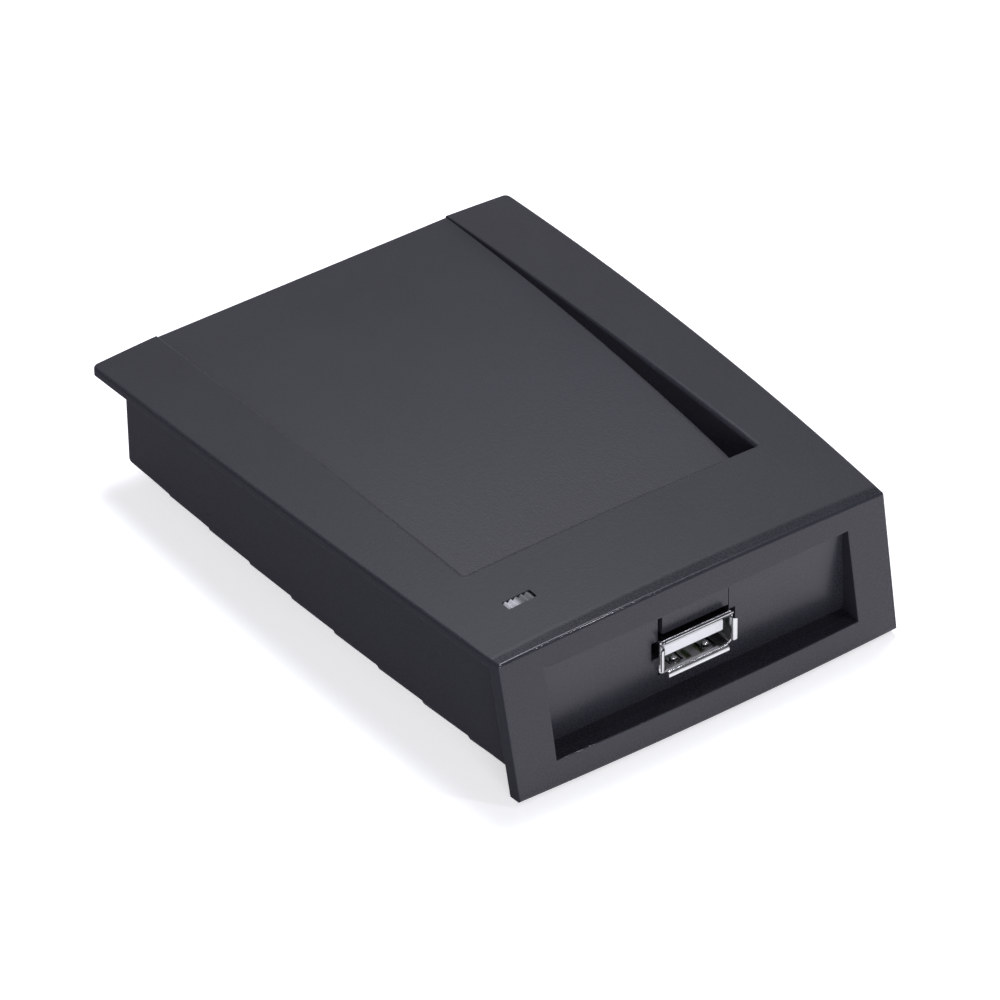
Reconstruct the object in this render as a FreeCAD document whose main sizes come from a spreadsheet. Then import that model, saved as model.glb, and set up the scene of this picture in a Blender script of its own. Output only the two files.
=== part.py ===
"""Desktop RFID card reader: a wedge-shaped two-part case with a card tray, a USB-A socket and a reader board.

Frame: +Z up, the desk at z = 0, the origin under the middle of the case. +Y is the tall end with the socket,
-Y is the low end where the card is slid in.
"""
import FreeCAD, Part
import math
import os
import Sketcher

DOC = FreeCAD.newDocument("card_reader")
SHEET = DOC.addObject("Spreadsheet::Sheet", "Sizes")

# Driving dimensions in millimetres, or degrees where the name says angle.
DRIVING = {
    # outer form of the case
    "case_length": 110.1,
    "user_width": 80.1,
    "port_width": 70.8,
    "side_bow": 1.22,
    "crest_user": 20.4,
    "crest_port": 25.4,
    "arch_radius": 1460.0,
    "crown_radius": 617.0,
    "skirt_run": 4.9,
    "skirt_bow": 0.7,
    "skirt_clear": 1.0,
    "skirt_wall": 2.3,
    "lid_wall": 1.5,
    "lid_edge_round": 0.5,
    "lid_corner_round": 1.0,
    "user_edge_round": 0.25,
    "window_edge_round": 0.2,
    # card tray pressed into the cover, open at the user end; its widths are taken along the floor
    "tray_ledge": 27.75,
    "tray_width_user": 55.4,
    "tray_width_deep": 52.0,
    "tray_drop_user": 0.95,
    "tray_drop_deep": 6.3,
    "tray_floor_rise": 1.2,
    "tray_wall_lean": 0.265,
    "tray_wall": 1.6,
    "tray_lip_round": 0.9,
    "tray_lip_round_user": 0.25,
    # window in the skirt, and the recessed socket panel behind it
    "window_width": 56.5,
    "window_sill": 4.53,
    "window_header": 4.54,
    "panel_gap": 0.12,
    "panel_wall": 2.0,
    # base tub
    "base_inset": 1.5,
    "base_overhang": 6.75,
    "base_underside": 3.6,
    "base_wall": 2.0,
    "base_edge_round": 1.1,
    "base_corner_round": 1.0,
    "case_gap": 0.15,
    # feet
    "foot_radius": 4.5,
    "foot_bevel": 0.6,
    "foot_seat": 0.6,
    "foot_gap": 0.1,
    "foot_half_span": 18.0,
    "foot_user_setback": 17.0,
    "foot_port_setback": 19.0,
    # case screws, driven from below into bosses of the cover
    "screw_radius": 1.3,
    "screw_gap": 0.2,
    "screw_head_radius": 2.5,
    "screw_head_height": 1.6,
    "screw_head_sink": 0.6,
    "screw_length": 9.0,
    "screw_tip": 1.0,
    "screw_web": 2.6,
    "lid_boss_wall": 1.7,
    "base_boss_wall": 1.3,
    "screw_user_inset": 6.62,
    "screw_port_inset": 6.29,
    "screw_user_setback": 15.0,
    "screw_port_setback": 21.0,
    # reader board, held between the screw bosses of the base
    "board_underside": 8.0,
    "board_thick": 1.6,
    "board_side_gap": 0.3,
    "board_user_setback": 12.0,
    "board_port_setback": 10.1,
    "board_screw_radius": 1.0,
    "board_screw_head": 1.9,
    "board_screw_rise": 1.0,
    "board_screw_inset": 4.0,
    "board_screw_port_inset": 14.0,
    "board_screw_length": 3.6,
    "board_hole_gap": 0.1,
    "post_radius": 2.6,
    # USB-A socket
    "port_shell_width": 13.1,
    "port_shell_height": 5.7,
    "port_shell_length": 14.0,
    "port_shell_wall": 0.3,
    "port_proud": 1.35,
    "port_flare": 0.7,
    "port_lip_side": 0.5,
    "port_block_long": 3.2,
    "port_block_gap": 0.05,
    "port_tongue_width": 11.0,
    "port_tongue_thick": 1.9,
    "port_tongue_drop": 0.9,
    "port_tongue_setback": 1.2,
    "port_spring_half": 1.3,
    "port_spring_long": 5.0,
    "port_spring_back": 0.8,
    "port_spring_slit": 0.35,
    "port_leg_back": 4.0,
    "port_leg_wide": 2.0,
    "port_leg_reach": 0.8,
    "contact_wide": 1.0,
    "contact_thick": 0.15,
    "contact_leg": 0.6,
    "contact_setback": 0.6,
    # the socket's place in the panel, and the cover's flap over it
    "port_slot_side": 0.1,
    "port_notch_drop": 0.9,
    "port_relief": 1.2,
    "port_relief_low": 0.4,
    "flap_gap": 0.15,
    "flap_slot": 0.85,
    "flap_above": 0.95,
    # blank rating label under the base
    "label_long": 34.0,
    "label_wide": 40.0,
    "label_recess": 0.3,
    "label_thick": 0.15,
    "label_gap": 0.3,
    # indicator window
    "lamp_long": 5.0,
    "lamp_wide": 1.9,
    "lamp_offset": 24.4,
    "lamp_setback": 16.25,
    "lamp_gap": 0.05,
    "lamp_sink": 0.05,
    "lamp_head": 3.4,
    "lamp_stem_inset": 1.0,
    "lamp_stem_slim": 0.3,
    "lamp_air": 0.3,
    "led_long": 0.8,
    "led_wide": 1.6,
    "led_height": 0.7,
    "led_spread": 0.8,
    # antenna on the user half of the board
    "coil_turns": 4,
    "coil_track": 0.8,
    "coil_pitch": 1.5,
    "coil_edge": 1.5,
    "coil_user_setback": 9.5,
    "coil_port_setback": 42.5,
    "coil_thick": 0.12,
    # parts on the board: setbacks are taken from the board's port edge
    "chip_stand": 0.12,
    "lead_reach": 0.9,
    "lead_thick": 0.14,
    "mcu_side": 7.0,
    "mcu_height": 1.2,
    "mcu_pitch": 0.8,
    "mcu_setback": 24.0,
    "rf_side": 5.2,
    "rf_height": 1.1,
    "rf_pitch": 0.65,
    "rf_setback": 34.0,
    "buzzer_radius": 6.0,
    "buzzer_height": 7.5,
    "buzzer_hole": 1.0,
    "buzzer_hole_deep": 1.5,
    "buzzer_offset": 17.0,
    "buzzer_setback": 7.5,
    "buzzer_pin_span": 6.5,
    "pin_radius": 0.35,
    "pin_tail": 1.0,
    "crystal_long": 10.8,
    "crystal_wide": 4.4,
    "crystal_height": 3.4,
    "capacitor_radius": 3.0,
    "capacitor_height": 7.0,
    "capacitor_groove": 0.3,
    "capacitor_groove_low": 1.2,
    "capacitor_offset": 14.5,
    "capacitor_setback": 11.0,
    "regulator_long": 6.4,
    "regulator_wide": 3.5,
    "regulator_height": 1.7,
    "regulator_tab": 3.0,
    "regulator_lead": 0.7,
    "regulator_pitch": 2.3,
    "regulator_reach": 1.5,
    "regulator_thick": 0.3,
    "regulator_offset": 15.0,
    "regulator_setback": 24.5,
    "choke_side": 4.8,
    "choke_height": 2.6,
    "choke_rim": 0.5,
    "choke_well": 0.4,
    "choke_offset": 3.5,
    "choke_setback": 14.5,
    "passive_long": 1.6,
    "passive_wide": 0.8,
    "resistor_height": 0.5,
    "ceramic_height": 0.85,
    "header_pitch": 2.54,
    "header_height": 2.5,
    "header_rise": 6.0,
    "header_offset": 8.0,
    "header_setback": 37.0,
}


class Size:
    """A length that knows its number and the sheet expression that drives it."""

    def __init__(self, value, text):
        self.value = value
        self.text = text

    def _join(self, other, sign, number):
        other = as_size(other)
        return Size(number(self.value, other.value), "(%s %s %s)" % (self.text, sign, other.text))

    def __add__(self, other):
        return self._join(other, "+", lambda a, b: a + b)

    def __radd__(self, other):
        return as_size(other) + self

    def __sub__(self, other):
        return self._join(other, "-", lambda a, b: a - b)

    def __rsub__(self, other):
        return as_size(other) - self

    def __mul__(self, other):
        return self._join(other, "*", lambda a, b: a * b)

    def __rmul__(self, other):
        return as_size(other) * self

    def __truediv__(self, other):
        return self._join(other, "/", lambda a, b: a / b)

    def __neg__(self):
        return Size(-self.value, "(0 - %s)" % self.text)

    def root(self):
        """Square root of the size."""
        return Size(math.sqrt(self.value), "sqrt(%s)" % self.text)


def as_size(number):
    """Wrap a plain number, so that sizes and numbers mix freely."""
    return number if isinstance(number, Size) else Size(float(number), repr(float(number)))


class Sizes:
    """The sheet's sizes, each reached by its name."""


def fill_sheet():
    """Write the driving dimensions to the sheet and return them by name."""
    sizes = Sizes()
    for row, (name, number) in enumerate(DRIVING.items(), start=1):
        SHEET.set("A%d" % row, name)
        SHEET.set("B%d" % row, repr(number))
        SHEET.setAlias("B%d" % row, name)
        setattr(sizes, name, Size(float(number), "Sizes." + name))
    DOC.recompute()
    return sizes


S = fill_sheet()


# ---------------------------------------------------------------- helpers

def bind(obj, prop, size):
    """Drive one property of an object by a size."""
    obj.setExpression(prop, as_size(size).text)


def put(obj, x=0, y=0, z=0):
    """Drive an object's place."""
    for axis, size in (("x", x), ("y", y), ("z", z)):
        bind(obj, "Placement.Base." + axis, size)


def add(kind, label):
    """Add an object to the document under its label."""
    obj = DOC.addObject(kind, label)
    obj.Label = label
    return obj


def block(label, x, y, z):
    """A box between two limits along each axis."""
    box = add("Part::Box", label)
    for prop, (low, high) in (("Length", x), ("Width", y), ("Height", z)):
        bind(box, prop, as_size(high) - low)
    put(box, x[0], y[0], z[0])
    return box


def rod(label, radius, x, y, z):
    """An upright cylinder between two heights."""
    cylinder = add("Part::Cylinder", label)
    bind(cylinder, "Radius", radius)
    bind(cylinder, "Height", as_size(z[1]) - z[0])
    put(cylinder, x, y, z[0])
    return cylinder


def cone(label, radius_low, radius_high, x, y, z):
    """An upright cone frustum between two heights."""
    frustum = add("Part::Cone", label)
    bind(frustum, "Radius1", radius_low)
    bind(frustum, "Radius2", radius_high)
    bind(frustum, "Height", as_size(z[1]) - z[0])
    put(frustum, x, y, z[0])
    return frustum


def fuse(label, shapes):
    """Join solids into one."""
    joined = add("Part::MultiFuse", label)
    joined.Shapes = list(shapes)
    joined.Refine = True
    return joined


def common(label, shapes):
    """Keep what all the solids share."""
    shared = add("Part::MultiCommon", label)
    shared.Shapes = list(shapes)
    return shared


def cut(label, base, tool):
    """Take one solid out of another."""
    rest = add("Part::Cut", label)
    rest.Base = base
    rest.Tool = tool
    rest.Refine = True
    return rest


def group(label, solids):
    """Several separate solids that make one node."""
    pieces = add("Part::Compound", label)
    pieces.Links = list(solids)
    return pieces


def rounded(label, base, rounds):
    """Round chosen edges: each entry of rounds is a radius, a test of an edge and its middle, and at will the
    radius that the edge thins down to at the user's end."""
    DOC.recompute()
    chosen = []
    for number, edge in enumerate(base.Shape.Edges, start=1):
        middle = edge.valueAt((edge.FirstParameter + edge.LastParameter) / 2)
        for radius, test, *thin in rounds:
            if test(middle, edge):
                start, stop = edge.valueAt(edge.FirstParameter), edge.valueAt(edge.LastParameter)
                first = thin[0] if thin and start.y < stop.y - edge.Length / 2 else radius
                last = thin[0] if thin and stop.y < start.y - edge.Length / 2 else radius
                chosen.append((number, first.value, last.value))
                break
    fillet = add("Part::Fillet", label)
    fillet.Base = base
    fillet.Edges = chosen
    return fillet


def origin_plane(body, role):
    """One of a body's own origin planes."""
    return next(item for item in body.Origin.OriginFeatures if item.Role == role)


def outline(body, label, role, offset, corners, bows=()):
    """A closed sketch through corners, each edge straight or bowed outward by a size."""
    sketch = body.newObject("Sketcher::SketchObject", label)
    sketch.AttachmentSupport = [(origin_plane(body, role), "")]
    sketch.MapMode = "FlatFace"
    bind(sketch, "AttachmentOffset.Base.z", offset)
    bows = dict(bows)
    corners = [(as_size(u), as_size(v)) for u, v in corners]
    ends = []
    for index, (u, v) in enumerate(corners):
        next_u, next_v = corners[(index + 1) % len(corners)]
        start = FreeCAD.Vector(u.value, v.value, 0)
        stop = FreeCAD.Vector(next_u.value, next_v.value, 0)
        if index in bows:
            along = stop - start
            outward = FreeCAD.Vector(along.y, -along.x, 0).normalize()
            middle = (start + stop) / 2 + outward * bows[index].value
            edge = sketch.addGeometry(Part.Arc(start, middle, stop), False)
        else:
            edge = sketch.addGeometry(Part.LineSegment(start, stop), False)
        first = 1 if sketch.getPoint(edge, 1).distanceToPoint(start) < 1e-6 else 2
        ends.append((edge, first, 3 - first))
    for index, (edge, first, last) in enumerate(ends):
        next_edge, next_first, _ = ends[(index + 1) % len(ends)]
        sketch.addConstraint(Sketcher.Constraint("Coincident", edge, last, next_edge, next_first))
        u, v = corners[index]
        for axis, kind, size in (("u", "DistanceX", u), ("v", "DistanceY", v)):
            number = sketch.addConstraint(Sketcher.Constraint(kind, -1, 1, edge, first, size.value))
            name = "corner_%s_%d" % (axis, index)
            sketch.renameConstraint(number, name)
            sketch.setExpression("Constraints." + name, size.text)
        if index in bows:
            next_u, next_v = corners[(index + 1) % len(corners)]
            radius = chord_radius(next_u - u, next_v - v, bows[index])
            number = sketch.addConstraint(Sketcher.Constraint("Radius", edge, radius.value))
            name = "bow_%d" % index
            sketch.renameConstraint(number, name)
            sketch.setExpression("Constraints." + name, radius.text)
    return sketch


def chord_radius(across, along, rise):
    """Radius of the arc whose chord has these two parts and which rises this much over it."""
    return (across * across + along * along) / (8 * rise) + rise / 2


def new_body(label):
    """An empty PartDesign body."""
    return add("PartDesign::Body", label)


def pad(body, label, sketch, length, taper=None):
    """Pad a sketch of a body along its normal."""
    feature = body.newObject("PartDesign::Pad", label)
    feature.Profile = sketch
    bind(feature, "Length", length)
    if taper is not None:
        bind(feature, "TaperAngle", taper)
    sketch.Visibility = False
    return feature


# ---------------------------------------------------------------- the outer form

HALF_LENGTH = S.case_length / 2
USER_END = -HALF_LENGTH
PORT_END = HALF_LENGTH
CREST_PORT_Y = PORT_END - S.skirt_run        # top of the skirt, on the centre line
PANEL_Y = CREST_PORT_Y - S.skirt_bow         # face of the recessed socket panel
TRAY_LENGTH = S.case_length - S.tray_ledge   # along the floor, from the user end to the deep wall
TRAY_FLOOR_USER = S.crest_user - S.tray_drop_user
TRAY_FLOOR_DEEP = S.crest_port - S.tray_drop_deep
WINDOW = S.window_width / 2
WINDOW_LOW = S.skirt_clear + S.window_sill
WINDOW_HIGH = S.crest_port - S.window_header
BEYOND = 20.0                                # clear outside the case
ABOVE = S.crest_port + BEYOND                # clear above the case
SPARE = 1.0                                  # how far a cutting form runs past the face that it cuts


def plan_prism(label, inset):
    """An upright prism with the case's plan: wider at the user end, sides bowed outward."""
    user = S.user_width / 2 - inset
    port = S.port_width / 2 - inset
    body = new_body(label)
    corners = [(-user, USER_END), (user, USER_END), (port, PORT_END), (-port, PORT_END)]
    sketch = outline(body, label + "_outline", "XY_Plane", 0, corners, {1: S.side_bow, 3: S.side_bow})
    pad(body, label + "_pad", sketch, ABOVE)
    return body


def arch_centre():
    """Centre (y, z) of the arch that the crest line follows from the user end to the skirt."""
    rise = S.crest_port - S.crest_user
    run = CREST_PORT_Y - USER_END
    chord = (rise * rise + run * run).root()
    reach = (S.arch_radius * S.arch_radius - chord * chord / 4).root() / chord
    return (CREST_PORT_Y + USER_END) / 2 + reach * rise, (S.crest_port + S.crest_user) / 2 - reach * run


ARCH_Y, ARCH_Z = arch_centre()


def crown_torus(label, inset):
    """A huge torus whose outermost stretch is the crowned, arched top of the case."""
    torus = add("Part::Torus", label)
    bind(torus, "Radius1", S.arch_radius - S.crown_radius)
    bind(torus, "Radius2", S.crown_radius - inset)
    torus.Placement.Rotation = FreeCAD.Rotation(FreeCAD.Vector(0, 1, 0), 90)
    put(torus, 0, ARCH_Y, ARCH_Z)
    return torus


def skirt_cylinder(label, inset):
    """A huge leaning cylinder whose surface is the slanted, slightly bowed port end."""
    drop = S.crest_port - S.skirt_clear
    slope = (drop * drop + S.skirt_run * S.skirt_run).root()
    radius = chord_radius(S.port_width, as_size(0), S.skirt_bow)
    low = S.crest_port
    cylinder = add("Part::Cylinder", label)
    bind(cylinder, "Radius", radius - inset)
    bind(cylinder, "Height", 3 * low)
    cylinder.Placement.Rotation = FreeCAD.Rotation(FreeCAD.Vector(1, 0, 0), 1)
    cylinder.setExpression("Placement.Rotation.Angle", "atan(%s)" % (S.skirt_run / drop).text)
    put(cylinder, 0, PORT_END - radius * drop / slope + low * S.skirt_run / slope,
        S.skirt_clear - radius * S.skirt_run / slope - low * drop / slope)
    return cylinder


def envelope(label, side, top, port, user_y, low):
    """The case's outer form, drawn in from its sides, top, port end, user end and underside."""
    parts = [
        plan_prism(label + "_plan", side),
        crown_torus(label + "_crown", top),
        skirt_cylinder(label + "_skirt", port),
        block(label + "_trim", (-S.user_width, S.user_width), (user_y, PORT_END + BEYOND), (low, ABOVE)),
    ]
    return common(label, parts)


def tray_prism(label, grow, low):
    """The card tray's plan with leaning walls, open past the user end, grown by a wall."""
    body = new_body(label)
    lean_in = (TRAY_FLOOR_DEEP - low) * S.tray_wall_lean
    user = S.tray_width_user / 2 + grow - lean_in
    deep = S.tray_width_deep / 2 + grow - lean_in
    flare = (user - deep) / TRAY_LENGTH * BEYOND
    back = USER_END + TRAY_LENGTH + grow - lean_in
    ahead = USER_END - BEYOND
    corners = [(-user - flare, ahead), (user + flare, ahead), (deep, back), (-deep, back)]
    sketch = outline(body, label + "_outline", "XY_Plane", low, corners)
    lean_angle = Size(math.degrees(math.atan(S.tray_wall_lean.value)), "atan(%s)" % S.tray_wall_lean.text)
    pad(body, label + "_pad", sketch, S.crest_port - low + 2 * SPARE, lean_angle)
    return body


def tray_floor_cylinder(label, drop):
    """A huge cylinder lying across the case whose top is the gently arched tray floor."""
    run = TRAY_LENGTH
    rise = TRAY_FLOOR_DEEP - TRAY_FLOOR_USER
    chord = (rise * rise + run * run).root()
    radius = chord_radius(rise, run, S.tray_floor_rise)
    reach = (radius - S.tray_floor_rise) / chord
    cylinder = add("Part::Cylinder", label)
    bind(cylinder, "Radius", radius - drop)
    bind(cylinder, "Height", 2 * S.user_width)
    cylinder.Placement.Rotation = FreeCAD.Rotation(FreeCAD.Vector(0, 1, 0), 90)
    put(cylinder, -S.user_width, USER_END + run / 2 + reach * rise,
        (TRAY_FLOOR_DEEP + TRAY_FLOOR_USER) / 2 - reach * run)
    return cylinder


def tray_form(label, grow, drop):
    """The space above the tray floor and between its walls, grown and lowered by a wall."""
    lowest = min(TRAY_FLOOR_DEEP, TRAY_FLOOR_USER, key=lambda height: height.value)
    low = lowest - drop - SPARE
    prism = tray_prism(label + "_prism", grow, low)
    return cut(label, prism, tray_floor_cylinder(label + "_floor", drop))


# ---------------------------------------------------------------- places shared by several pieces

def straight_side(y):
    """Half of the case's width at a place along it, were its sides straight."""
    return S.user_width / 2 - (S.user_width - S.port_width) / 2 * (y - USER_END) / S.case_length


BOARD_TOP = S.board_underside + S.board_thick
BOARD_USER = USER_END + S.board_user_setback
BOARD_PORT = PORT_END - S.board_port_setback
FLOOR_TOP = S.base_underside + S.base_wall
INNER_PORT_Y = PANEL_Y - 2 * S.panel_wall    # inner face of the base's port wall
PORT_MOUTH = PANEL_Y + S.port_proud
PORT_Z = BOARD_TOP + S.port_shell_height / 2
LAMP_Y = PORT_END - S.lamp_setback
SCREW_SEAT = S.base_underside + S.screw_head_sink + S.screw_head_height
BOSS_MEET = SCREW_SEAT + S.screw_web
BASE_BOSS = S.screw_head_radius + S.screw_gap + S.base_boss_wall
SCREW_USER_Y = USER_END + S.screw_user_setback
SCREW_PORT_Y = PORT_END - S.screw_port_setback
SCREW_USER_X = straight_side(SCREW_USER_Y) - S.screw_user_inset
SCREW_PORT_X = straight_side(SCREW_PORT_Y) - S.screw_port_inset
BOARD_HALF = SCREW_PORT_X - BASE_BOSS - S.board_side_gap
NOTCH = S.port_shell_width / 2 + S.port_slot_side

CASE_SCREWS = [
    (side * span, y)
    for span, y in ((SCREW_USER_X, SCREW_USER_Y), (SCREW_PORT_X, SCREW_PORT_Y))
    for side in (-1, 1)
]
BOARD_SCREWS = [
    (side * (BOARD_HALF - S.board_screw_inset), y)
    for y in (BOARD_USER + S.board_screw_inset, BOARD_PORT - S.board_screw_port_inset)
    for side in (-1, 1)
]
FEET = [
    (side * S.foot_half_span, y)
    for y in (USER_END + S.foot_user_setback, PORT_END - S.foot_port_setback)
    for side in (-1, 1)
]


# ---------------------------------------------------------------- the case

def make_top_cover():
    """The cover: crowned top, card tray, slanted skirt with its window, and four screw bosses."""
    outer = envelope("cover_outer", 0, 0, 0, USER_END, S.skirt_clear)
    hollow = common("cover_hollow", [
        crown_torus("cover_hollow_crown", S.lid_wall),
        skirt_cylinder("cover_hollow_skirt", S.skirt_wall),
        block("cover_hollow_trim", (-S.user_width, S.user_width), (USER_END - BEYOND, PORT_END + BEYOND),
              (-BEYOND, ABOVE)),
    ])
    shell = cut("cover_shell", outer, hollow)
    core = envelope("cover_core", 0, S.lid_wall / 2, S.skirt_wall / 2, USER_END, S.skirt_clear)
    tray_body = common("cover_tray", [tray_form("cover_tray_body", S.tray_wall, S.tray_wall), core])
    bosses = []
    pilots = []
    for number, (x, y) in enumerate(CASE_SCREWS):
        post = rod("cover_boss_rod_%d" % number, S.screw_radius + S.lid_boss_wall, x, y, (BOSS_MEET, ABOVE))
        bosses.append(common("cover_boss_%d" % number, [post, core]))
        pilots.append(rod("cover_pilot_%d" % number, S.screw_radius, x, y,
                          (BOSS_MEET - SPARE, SCREW_SEAT + S.screw_length + SPARE)))
    solid = fuse("cover_solid", [shell, tray_body] + bosses)
    half_long = S.lamp_long / 2 + S.lamp_gap
    half_wide = S.lamp_wide / 2 + S.lamp_gap
    lamp_hole = block("cover_lamp_hole", (S.lamp_offset - half_long, S.lamp_offset + half_long),
                      (LAMP_Y - half_wide, LAMP_Y + half_wide), (S.crest_port - S.lamp_head - SPARE, ABOVE))
    window = block("cover_window", (-WINDOW, WINDOW), (INNER_PORT_Y, PORT_END + BEYOND),
                   (WINDOW_LOW, WINDOW_HIGH))
    openings = fuse("cover_openings", [tray_form("cover_tray_space", 0, 0), window, lamp_hole] + pilots)
    opened = cut("cover_opened", solid, openings)
    rim = rounded("cover_rounded", opened, [
        (S.lid_corner_round, at_user_corner),
        (S.lid_edge_round, at_top_rim),
        (S.tray_lip_round, at_tray_lip, S.tray_lip_round_user),
        (S.user_edge_round, at_user_edge),
        (S.lid_edge_round, at_skirt_edge),
        (S.window_edge_round, at_window_edge),
    ])
    flap = block("cover_flap", (S.flap_gap - NOTCH, NOTCH - S.flap_slot), (PANEL_Y - S.panel_wall, PANEL_Y),
                 (PORT_Z + S.port_shell_height / 2 + S.flap_above, WINDOW_HIGH + SPARE))
    return fuse("top_cover", [rim, flap])


NEAR = 0.05                                  # how close a point must be to a face to count as on it


def half_width_at(y):
    """Half of the cover's width at a place along the case."""
    share = (y - USER_END.value) / S.case_length.value
    straight = (S.user_width.value * (1 - share) + S.port_width.value * share) / 2
    return straight + 4 * S.side_bow.value * share * (1 - share)


def is_upright(edge):
    """Whether an edge stands upright."""
    along = edge.tangentAt((edge.FirstParameter + edge.LastParameter) / 2)
    return abs(along.z) > 0.95


def at_user_corner(middle, edge):
    """Upright edges at the cover's two user-end corners."""
    outermost = abs(middle.x) > half_width_at(middle.y) - S.base_inset.value / 2
    return is_upright(edge) and middle.y < USER_END.value + NEAR and outermost


def at_top_rim(middle, edge):
    """Edges where the crowned top meets the case's sides and its two ends."""
    at_side = abs(middle.x) > half_width_at(middle.y) - NEAR and not is_upright(edge)
    at_port = middle.y > PANEL_Y.value - NEAR
    return on_crown(middle) and (at_side or at_port)


def at_tray_lip(middle, edge):
    """Edges where the tray's three walls meet the crowned top."""
    lean = S.tray_drop_deep.value * S.tray_wall_lean.value + NEAR
    across = abs(middle.x) < S.tray_width_user.value / 2 + lean
    along = USER_END.value + SPARE < middle.y < USER_END.value + TRAY_LENGTH.value + lean
    return across and along and on_crown(middle)


def at_user_edge(middle, edge):
    """Upper edges of the low end, over which a card is slid in."""
    above_rim = middle.z > TRAY_FLOOR_USER.value - NEAR
    return middle.y < USER_END.value + NEAR and above_rim and edge.Length > SPARE


def at_skirt_edge(middle, edge):
    """Edges down both sides and along the foot of the slanted skirt."""
    outside = abs(middle.x) > WINDOW.value + SPARE or middle.z < S.skirt_clear.value + NEAR
    return on_skirt(middle) and outside


def at_window_edge(middle, edge):
    """The four front edges of the window in the skirt."""
    inside = abs(middle.x) < WINDOW.value + NEAR
    return on_skirt(middle) and inside and middle.z > WINDOW_LOW.value - NEAR


def on_skirt(point):
    """Whether a point lies on the outer face of the slanted skirt."""
    share = (point.z - S.skirt_clear.value) / (S.crest_port.value - S.skirt_clear.value)
    bow = S.skirt_bow.value * (2 * point.x / S.port_width.value) ** 2
    face_y = PORT_END.value - bow - S.skirt_run.value * share
    return abs(point.y - face_y) < 2 * NEAR and point.z < WINDOW_HIGH.value + SPARE


def on_crown(point):
    """Whether a point lies on the crowned top surface."""
    crest = ARCH_Z.value + math.sqrt(S.arch_radius.value ** 2 - (point.y - ARCH_Y.value) ** 2)
    return abs(point.z - (crest - point.x ** 2 / (2 * S.crown_radius.value))) < 2 * NEAR


def make_base_case():
    """The base: a tub under the cover, with the socket panel, posts, bosses, foot seats and label recess."""
    user_y = USER_END + S.base_overhang
    outer = envelope("base_outer", S.base_inset, S.lid_wall + S.case_gap, S.skirt_wall + S.case_gap, user_y,
                     S.base_underside)
    rounded_outer = rounded("base_outer_rounded", outer, [
        (S.base_corner_round, at_base_corner),
        (S.base_edge_round, at_base_underside),
    ])
    panel = block("base_panel", (S.panel_gap - WINDOW, WINDOW - S.panel_gap), (INNER_PORT_Y, PANEL_Y),
                  (WINDOW_LOW + S.panel_gap, WINDOW_HIGH - S.panel_gap))
    inner = common("base_inner", [
        plan_prism("base_inner_plan", S.base_inset + S.base_wall),
        block("base_inner_trim", (-S.user_width, S.user_width), (user_y + S.base_wall, INNER_PORT_Y),
              (FLOOR_TOP, ABOVE)),
    ])
    under_tray = tray_form("base_under_tray", S.tray_wall + S.case_gap, S.tray_wall + S.case_gap)
    sill = block("base_sill", (-WINDOW - S.panel_gap, WINDOW + S.panel_gap), (PANEL_Y, PORT_END + BEYOND),
                 (WINDOW_LOW - S.panel_gap, WINDOW_HIGH))
    panel_back = block("base_panel_back", (S.panel_wall - WINDOW, WINDOW - S.panel_wall),
                       (INNER_PORT_Y - SPARE, PANEL_Y - S.panel_wall),
                       (WINDOW_LOW + S.panel_wall, WINDOW_HIGH - S.panel_wall))
    walls = fuse("base_walls", [rounded_outer, panel])
    tub = cut("base_tub", walls, fuse("base_hollows", [inner, under_tray, sill, panel_back]))
    stands = []
    holes = make_panel_holes()
    for number, (x, y) in enumerate(BOARD_SCREWS):
        stands.append(rod("base_post_%d" % number, S.post_radius, x, y, (FLOOR_TOP, S.board_underside)))
        holes.append(rod("base_post_hole_%d" % number, S.board_screw_radius, x, y,
                         (BOARD_TOP - S.board_screw_length - S.board_hole_gap, BOARD_TOP)))
    for number, (x, y) in enumerate(CASE_SCREWS):
        post = rod("base_boss_rod_%d" % number, BASE_BOSS, x, y, (S.base_underside, BOSS_MEET))
        stands.append(common("base_boss_%d" % number, [post, outer]))
        holes.append(rod("base_head_hole_%d" % number, S.screw_head_radius + S.screw_gap, x, y,
                         (0, SCREW_SEAT)))
        holes.append(rod("base_screw_hole_%d" % number, S.screw_radius + S.screw_gap, x, y,
                         (0, BOSS_MEET + SPARE)))
    for number, (x, y) in enumerate(FEET):
        holes.append(rod("base_foot_seat_%d" % number, S.foot_radius + S.foot_gap, x, y,
                         (0, S.base_underside + S.foot_seat)))
    return cut("base_case", fuse("base_solid", [tub] + stands), fuse("base_holes", holes))


def make_panel_holes():
    """Forms that cut the socket's notch and relief out of the panel, and the label's recess."""
    depth = (INNER_PORT_Y - SPARE, PANEL_Y + SPARE)
    shell_low = PORT_Z - S.port_shell_height / 2
    return [
        block("base_port_notch", (-NOTCH, NOTCH), depth, (shell_low - S.port_notch_drop, ABOVE)),
        block("base_port_relief", (-NOTCH - S.port_relief, NOTCH + S.port_relief), depth,
              (PORT_Z - S.port_relief_low, PORT_Z + S.port_shell_height / 2)),
        block("base_label_recess", (-S.label_long / 2, S.label_long / 2),
              (-S.label_wide / 2, S.label_wide / 2), (0, S.base_underside + S.label_recess)),
    ]


def at_base_corner(middle, edge):
    """Upright edges at the base's two user-end corners."""
    return is_upright(edge) and middle.y < 0


def at_base_underside(middle, edge):
    """Edges round the base's underside, except under the port wall."""
    at_bottom = abs(middle.z - S.base_underside.value) < NEAR
    return at_bottom and middle.y < CREST_PORT_Y.value - SPARE


# ---------------------------------------------------------------- what shows outside besides the case

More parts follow.
